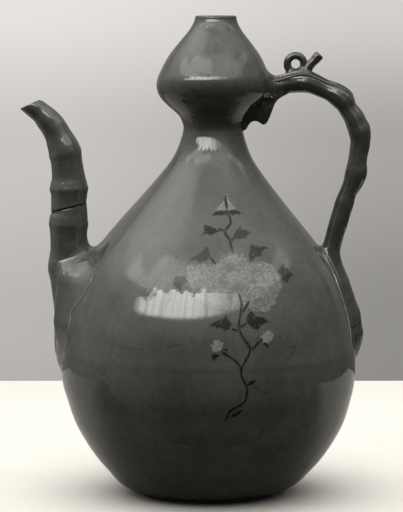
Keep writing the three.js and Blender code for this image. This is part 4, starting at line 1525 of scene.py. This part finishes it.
# Table, backdrop, world and camera. Light is luminance where 1 is white
studio = {
    "tableFront": -0.12,
    "tableBack": 0.543,
    "tableHalf": 0.6,
    "tableThickness": 0.03,
    "tableColours": ((0.80, 0.775, 0.72), (0.86, 0.835, 0.78)),
    "tableCloud": 60,
    # how much of the table's paleness the glaze mirrors, far and near, between which places from
    # front to back, and how much of it the table throws back up
    # painted shade: the table's mirror image in the glaze is dimmed, most at the front
    "tableMirroredShade": (0.5, 0.12),
    "tableShadeFade": (0.02, -0.075),
    "tableBounce": 0.2,
    "wallMirrored": 0.42,
    "wallPlace": 1.0,
    "wallHalf": 1.1,
    "wallBottom": -0.45,
    "wallTop": 1.0,
    # the backdrop grows lighter upwards: height in metres, and luminance at its left and right
    "wallRows": [(-0.22, 0.34, 0.25), (0.0, 0.49, 0.28), (0.2, 0.59, 0.39), (0.37, 0.81, 0.66)],
    "wallSpan": (-0.23, 0.23),
    "sepia": (1.0, 0.965, 0.92),
    "paperColour": (0.5, 0.49, 0.47, 1),
    # the room that the glaze mirrors, in front, at the left and at the right of the ewer: degrees of
    # height and luminance there
    "frontRows": [(-90, 0.02), (-25, 0.03), (-12, 0.06), (0, 0.12), (12, 0.25), (21, 0.55),
                  (28, 1.1), (36, 2.4), (48, 2.7), (60, 2.4), (70, 1.5), (90, 1.5)],
    "leftRows": [(-90, 0.05), (-40, 0.1), (-28, 0.3), (-10, 0.4), (8, 0.5), (20, 0.9), (30, 1.5),
                 (42, 2.4), (54, 2.9), (66, 2.8), (90, 1.5)],
    "rightRows": [(-90, 0.02), (-25, 0.06), (-10, 0.12), (8, 0.2), (20, 0.36), (32, 0.6),
                  (45, 0.9), (60, 1.3), (75, 1.4), (90, 1.5)],
    "leftSpan": (-42, -80),
    "rightSpan": (38, 88),
    "backSpan": (105, 150),
    "backShare": 0.4,
    # windows: degrees of height and turn, luminance on top of the room's, how far the broken edge
    # strays, and how much of the light is left towards the right
    "windows": [
        {"low": 28.6, "tilt": 0.07, "high": 41, "middle": -10, "arch": 0.0034, "left": -66, "right": 33,
         "light": 10.0, "ragged": 30.0, "fade": 0.3},
        {"low": 45, "tilt": 0.0, "high": 60, "middle": -38, "arch": 0.004, "left": -72, "right": -4,
         "light": 1.8, "ragged": 16.0, "fade": 1.0},
        {"low": 35, "tilt": 0.0, "high": 45, "middle": 0, "arch": 0.0, "left": -100, "right": -36,
         "light": 1.9, "ragged": 8.0, "fade": 1.0},
        {"low": 37, "tilt": 0.0, "high": 46, "middle": 0, "arch": 0.0, "left": 52, "right": 110,
         "light": 1.1, "ragged": 8.0, "fade": 1.0},
    ],
    # how fine the leaves outside and the panes' streaks are
    "leafScale": 9.0,
    "streakDegrees": 5.0,
    "roomColour": (1.0, 0.985, 0.96, 1),
    # the plain soft light from above that lights matt surfaces, a little stronger from the left
    "softRows": [(-90, 0.0), (-5, 0.03), (20, 0.17), (42, 1.0), (62, 2.6), (90, 3.0)],
    "softLean": 0.35,
    "background": 0.8,
}
view = {"place": (-0.0049, -1.7, 0.330), "tilt": 84.61, "lens": 168.6, "sensor": 36, "near": 0.05}


# A smooth run of values through rows of place and value
def rowsRamp(tree, value, rows):
    low, high = rows[0][0], rows[-1][0]
    node = addNode(tree, "ShaderNodeValToRGB", {
        "Fac": calc(tree, "DIVIDE", calc(tree, "SUBTRACT", value, low), high - low, clamp=True)})
    node.color_ramp.interpolation = "EASE"
    stops = node.color_ramp.elements
    top = max(row[1] for row in rows)
    while len(stops) < len(rows):
        stops.new(0.5)
    for stop, (place, light) in zip(stops, rows):
        stop.position = (place - low) / (high - low)
        stop.color = (*(light / top,) * 3, 1)
    return times(tree, node.outputs["Color"], top)


# A window whose upper edge is arched and broken by leaves outside, with streaks down its panes
def windowLight(tree, facing, height, turn, window):
    low, high, left, right = [window[key] for key in ("low", "high", "left", "right")]
    wander = addNode(tree, "ShaderNodeTexNoise", {
        "Vector": facing, "Scale": studio["leafScale"], "Detail": 5.0}).outputs["Fac"]
    ragged = times(tree, calc(tree, "SUBTRACT", wander, 0.45), window["ragged"])
    off = calc(tree, "SUBTRACT", turn, window["middle"])
    top = plus(tree, height, times(tree, off, off, window["arch"]), ragged)
    sill = calc(tree, "MULTIPLY_ADD", turn, -window["tilt"], height)
    # its four sides, soft over a few degrees
    pane = times(
        tree, ease(tree, sill, low - 1.5, low + 1.0), ease(tree, top, high - 2, high + 2, 1, 0),
        ease(tree, turn, left - 6, left + 8), ease(tree, turn, right - 10, right + 4, 1, 0))
    streaks = addNode(tree, "ShaderNodeTexNoise", {
        "W": calc(tree, "DIVIDE", turn, studio["streakDegrees"]), "Scale": 1.0}, noise_dimensions="1D")
    clear = ease(tree, streaks.outputs["Fac"], 0.33, 0.55, 0.6, 1.0)
    faded = ease(tree, turn, -20, 25, 1.0, window["fade"])
    return times(tree, pane, clear, faded, window["light"])


def makeWorld():
    world = bpy.data.worlds.new("studio")
    bpy.context.scene.world = world
    world.use_nodes = True
    tree = world.node_tree
    tree.nodes.clear()
    facing = addNode(tree, "ShaderNodeTexCoord").outputs["Generated"]
    axes = addNode(tree, "ShaderNodeSeparateXYZ", {0: facing}).outputs
    height = times(tree, calc(tree, "ARCSINE", axes["Z"]), math.degrees(1))
    turn = times(tree, calc(tree, "ARCTAN2", axes["X"], times(tree, axes["Y"], -1.0)), math.degrees(1))
    light = rowsRamp(tree, height, studio["frontRows"])
    for side in ("left", "right"):
        share = ease(tree, turn, *studio[side + "Span"])
        light = between(tree, share, light, rowsRamp(tree, height, studio[side + "Rows"]))
    away = ease(tree, calc(tree, "ABSOLUTE", turn), *studio["backSpan"], 1, studio["backShare"])
    light = plus(tree, times(tree, light, away), *[
        windowLight(tree, facing, height, turn, window) for window in studio["windows"]])
    strength = times(tree, rowsRamp(tree, height, studio["softRows"]),
                     calc(tree, "MULTIPLY_ADD", axes["X"], -studio["softLean"], 1.0))
    rays = addNode(tree, "ShaderNodeLightPath").outputs
    for ray, seen in (("Is Glossy Ray", light), ("Is Camera Ray", studio["background"])):
        strength = between(tree, rays[ray], strength, seen)
    back = addNode(tree, "ShaderNodeBackground", {"Strength": strength, "Color": studio["roomColour"]})
    out = addNode(tree, "ShaderNodeOutputWorld")
    tree.links.new(back.outputs[0], out.inputs["Surface"])


def makeTable():
    deselectAll()
    s = studio
    deep = s["tableBack"] - s["tableFront"]
    bpy.ops.mesh.primitive_cube_add(
        size=1, location=(0, s["tableFront"] + deep / 2, -s["tableThickness"] / 2))
    table = bpy.context.object
    table.scale = (2 * s["tableHalf"], deep, s["tableThickness"])
    bakePlace()
    table.name = "table"
    material = newMaterial("tableTop")
    tree = material.node_tree
    colour = blendColour(tree, speckle(tree, placeInMm(tree), s["tableCloud"], 3.0), *s["tableColours"])
    place = addNode(tree, "ShaderNodeTexCoord").outputs["Object"]
    deepness = addNode(tree, "ShaderNodeSeparateXYZ", {0: place}).outputs["Y"]
    rays = addNode(tree, "ShaderNodeLightPath").outputs
    # painted shade: the glaze mirrors the table dimmer than it is, darkest towards the front
    mirrorShade = ease(tree, deepness, *s["tableShadeFade"], *s["tableMirroredShade"])
    mirrorShade = times(tree, mirrorShade, rays["Is Glossy Ray"])
    bounced = times(tree, rays["Is Diffuse Ray"], s["tableBounce"])
    shown = calc(tree, "ADD", plus(tree, rays["Is Camera Ray"], mirrorShade), bounced, clamp=True)
    shader = tree.nodes["Principled BSDF"]
    tree.links.new(blendColour(tree, shown, (0, 0, 0), colour), shader.inputs["Base Color"])
    shader.inputs["Roughness"].default_value = 0.8
    shader.inputs["Specular IOR Level"].default_value = 0.1
    table.data.materials.append(material)


def makeBackdrop():
    deselectAll()
    s = studio
    tall = s["wallTop"] - s["wallBottom"]
    bpy.ops.mesh.primitive_plane_add(
        size=1, location=(0, s["wallPlace"], s["wallBottom"] + tall / 2), rotation=(math.pi / 2, 0, 0))
    wall = bpy.context.object
    wall.scale = (2 * s["wallHalf"], tall, 1)
    bakePlace()
    wall.name = "backdrop"
    material = newMaterial("backdropPaper")
    tree = material.node_tree
    tree.nodes.clear()
    place = addNode(tree, "ShaderNodeTexCoord").outputs["Object"]
    axes = addNode(tree, "ShaderNodeSeparateXYZ", {0: place}).outputs
    left, right = [rowsRamp(tree, axes["Z"], [(row[0], row[side]) for row in s["wallRows"]])
                   for side in (1, 2)]
    light = between(tree, ease(tree, axes["X"], *s["wallSpan"]), left, right)
    rays = addNode(tree, "ShaderNodeLightPath").outputs
    dimmed = calc(tree, "MULTIPLY_ADD", rays["Is Glossy Ray"], s["wallMirrored"] - 1, 1.0)
    glow = addNode(tree, "ShaderNodeEmission", {
        "Color": (*s["sepia"], 1), "Strength": times(tree, light, dimmed)})
    paper = addNode(tree, "ShaderNodeBsdfDiffuse", {"Color": s["paperColour"]})
    seen = calc(tree, "MAXIMUM", calc(tree, "MAXIMUM", rays["Is Camera Ray"], rays["Is Glossy Ray"]),
                rays["Is Transmission Ray"])
    front = addNode(tree, "ShaderNodeMixShader", {0: seen, 1: paper.outputs[0], 2: glow.outputs[0]})
    clear = addNode(tree, "ShaderNodeBsdfTransparent")
    behind = addNode(tree, "ShaderNodeNewGeometry").outputs["Backfacing"]
    both = addNode(tree, "ShaderNodeMixShader", {0: behind, 1: front.outputs[0], 2: clear.outputs[0]})
    out = addNode(tree, "ShaderNodeOutputMaterial")
    tree.links.new(both.outputs[0], out.inputs["Surface"])
    wall.data.materials.append(material)


def addCamera():
    deselectAll()
    bpy.ops.object.camera_add(location=view["place"], rotation=(math.radians(view["tilt"]), 0, 0))
    camera = bpy.context.object
    camera.data.lens = view["lens"]
    camera.data.sensor_width = view["sensor"]
    camera.data.clip_start = view["near"]
    bpy.context.scene.camera = camera


# Assembly
celadon = makeGlaze("celadon")
spoutGlaze = makeGlaze("celadonSpout", dirty=True)
bulbGlaze = makeGlaze("celadonUpper", coatRoughness=0.09)
# pale glaze for the beads: partly glaze running thin over a ridge, partly a painted highlight along the
# joins
ridgeHighlightGlaze = makeGlaze("celadonRidgeHighlight", thin=(0.46, 0.47, 0.43), deep=(0.28, 0.285, 0.26))
darkGlaze = makeGlaze("celadonHandle", thin=(0.086, 0.088, 0.079), deep=(0.050, 0.0515, 0.0465),
                      cloud=18, netCells=6.5, longWidth=0.2)
whiteSlip = makeSlip("whiteSlip", "white")
darkSlip = makeSlip("darkSlip", "dark", coat=0.6)
print("materials done")

finishPiece(makeLowerBulb(), "lowerBulb", celadon, ["lower_bulb"])
finishPiece(makeUpperBulb(), "upperBulb", bulbGlaze, ["upper_bulb"])
print("vessel done")
for makeIt, name, node in (
        (makeSpoutRoot, "spoutRoot", "spout_root"), (makeSpoutTip, "spoutTip", "spout_tip")):
    piece = makeIt()
    markBreak(piece)
    finishPiece(piece, name, spoutGlaze, [node])
print("spout done")
for makeIt, name, nodes in (
        (makeBranch, "handleBranch", ["handle_branch"]), (makeVine, "handleVine", []),
        (makeSheath, "handleSheath", ["handle_sheath"]), (makeLeaf, "handleLeaf", ["handle_leaf"]),
        (makeRing, "cordRing", ["cord_ring"]), (makeTwig, "handleTwig", ["handle_twig"])):
    finishPiece(makeIt(), name, darkGlaze, nodes)
print("handle done")

# Thin beads of clay left along the joins: the pieces they lie on, half width, and across and height
spoutJoin = ("spoutFillet", "lowerBulb", "spoutRoot")
handleJoin = ("handleFootFillet", "lowerBulb", "handleBranch")
beads = {
    "spoutBead": (spoutJoin, 0.55, [
        (-77.6, 162.8), (-81.1, 157.1), (-84.6, 150.8), (-88.2, 144.4), (-93.1, 137.4),
        (-96, 133.1), (-97, 126.7), (-98.1, 118.9), (-99.2, 111)]),
    "spoutBeadShort": (spoutJoin, 0.4, [(-83.1, 147.6), (-84.6, 144.2), (-86.4, 140.4), (-88.2, 137)]),
    "handleBead": (handleJoin, 0.55, [
        (80.6, 173), (84.4, 166.5), (88.4, 158.6), (92.6, 147), (96.6, 134.5), (99.4, 122),
        (100.8, 110)]),
    "handleBeadShort": (handleJoin, 0.42, [(84, 171.6), (87.6, 164.8), (91.4, 157), (94.4, 149.4)]),
}
beadShape = {"parts": 6, "sides": 12, "end": 0.3, "growth": 0.14, "bump": 0.3, "bumpSize": 3}


# The bead lies on whatever a line of sight from the front meets first.
def makeBead(pieces, half, path):
    bpy.context.view_layer.update()
    b = beadShape
    line, halves = [], []
    run = smoothRun(path, b["parts"])
    ahead = Vector((0, 1, 0))
    for i, (x, z) in enumerate(run):
        start = Vector((x, -200, z)) * mm
        spots = [bpy.data.objects[name].ray_cast(start, ahead) for name in pieces]
        near = min((spot[1] for spot in spots if spot[0]), key=lambda place: place.y)
        line.append(near / mm)
        taper = min(1, b["end"] + b["growth"] * min(i, len(run) - 1 - i))
        halves.append(half * taper * (1 + b["bump"] * noiseAt(x, z, 1, b["bumpSize"])))
    return drawCord(line, halves, b["sides"])


# Glaze and slot, and then what makeFillet gets
branchGaps = tubeGaps(branchLine)
onBelly, onHandle = (celadon, "celadon"), (darkGlaze, "celadon_handle")
fillets = {
    "spoutFillet": (*onBelly, tubeGaps(spoutLine()), vesselGaps, spout["soft"],
                    (-116, -58, 84), (-56, 58, 214), 0.9, (2.4, 4.5), spout["web"]),
    "handleFootFillet": (*onHandle, branchGaps, vesselGaps, handle["soft"],
                         (72, -20, 110), (112, 20, 200), 0.7, (3.5, 4.5)),
    "handleTopFillet": (*onHandle, branchGaps, vesselGaps, handle["soft"],
                        (28, -22, 268), (58, 22, 308), 0.7, (3.5, 3.2)),
    "sheathFillet": (*onHandle, tubeGaps(sheathLine()), vesselGaps, sheath["soft"],
                     (84, -14, 90), (112, 14, 132), 0.55, (3, 4.5)),
    "ringFillet": (*onHandle, ringGaps, branchGaps, cordRing["soft"],
                   (50, -9, 290), (76, 9, 310), 0.45, (1.5, 2)),
    "twigFillet": (*onHandle, tubeGaps(twigLine()), branchGaps, twig["soft"],
                   (58, -9, 288), (82, 9, 308), 0.45, (1.5, 2)),
}
for name, (material, slotName, *settings) in fillets.items():
    finishPiece(makeFillet(*settings), name, material, [], 180)
    print(name, "done")

# the beads' pale glaze paints light lines along the joins
for name, (pieces, half, path) in beads.items():
    finishPiece(makeBead(pieces, half, path), name, ridgeHighlightGlaze, [], 180)
print("beads done")
# In the photo the glaze hardly mirrors the spout and the handle
for name in ("spoutRoot", "spoutTip", "handleBranch", "handleVine"):
    bpy.data.objects[name].visible_glossy = False


def whiteInlay(piece, name, node):
    finishPiece(piece, name, whiteSlip, [node])


def darkInlay(piece, node):
    finishPiece(piece, node + "Inlay", darkSlip, [node])


whiteInlay(inlayPiece([bud["outline"]], bud["ink"]), "budInlay", "bud")
first, last = peony["petals"][0][0], peony["petals"][-1][1]
blossomRing = [peonyPlace(turn, peonyReach(turn)) for turn in range(first, last, peony["step"])]
for index, (start, end) in enumerate(peony["petals"], 1):
    lift = spray["lift"] + peony["petalLift"] * index
    petal = inlayPiece([petalOutline(start, end)], 1.0, lift, blossomRing, peony["grain"])
    whiteInlay(petal, "peonyPetal%d" % index, "peony_petal_%d" % index)
count = peony["heartPoints"]
heart = [peonyPlace(k * 360 / count, peony["heart"] * (1 - peony["heartNotch"] * (k % 2)))
         for k in range(count)]
lift = spray["lift"] + peony["heartLift"]
whiteInlay(inlayPiece([heart], 1.0, lift, blossomRing, peony["grain"]), "peonyHeart", "peony_heart")
for name, place in smallBlossoms.items():
    whiteInlay(inlayPiece([rosette(*place)], rosettes["ink"]), name + "Inlay", name)
for name, outline in darkLeaves.items():
    darkInlay(inlayPiece([outline], paleLeaves.get(name, 1.0)), name)
for name, lines in darkStems.items():
    outlines = [stemOutline(line, spray["stemHalf"], i) for i, line in enumerate(lines)]
    darkInlay(inlayPiece(outlines, 1.0, spray["stemLift"]), name)
print("inlays done")

makeWorld()
makeTable()
makeBackdrop()
addCamera()
bpy.context.scene.view_settings.view_transform = "Standard"
print("studio done")
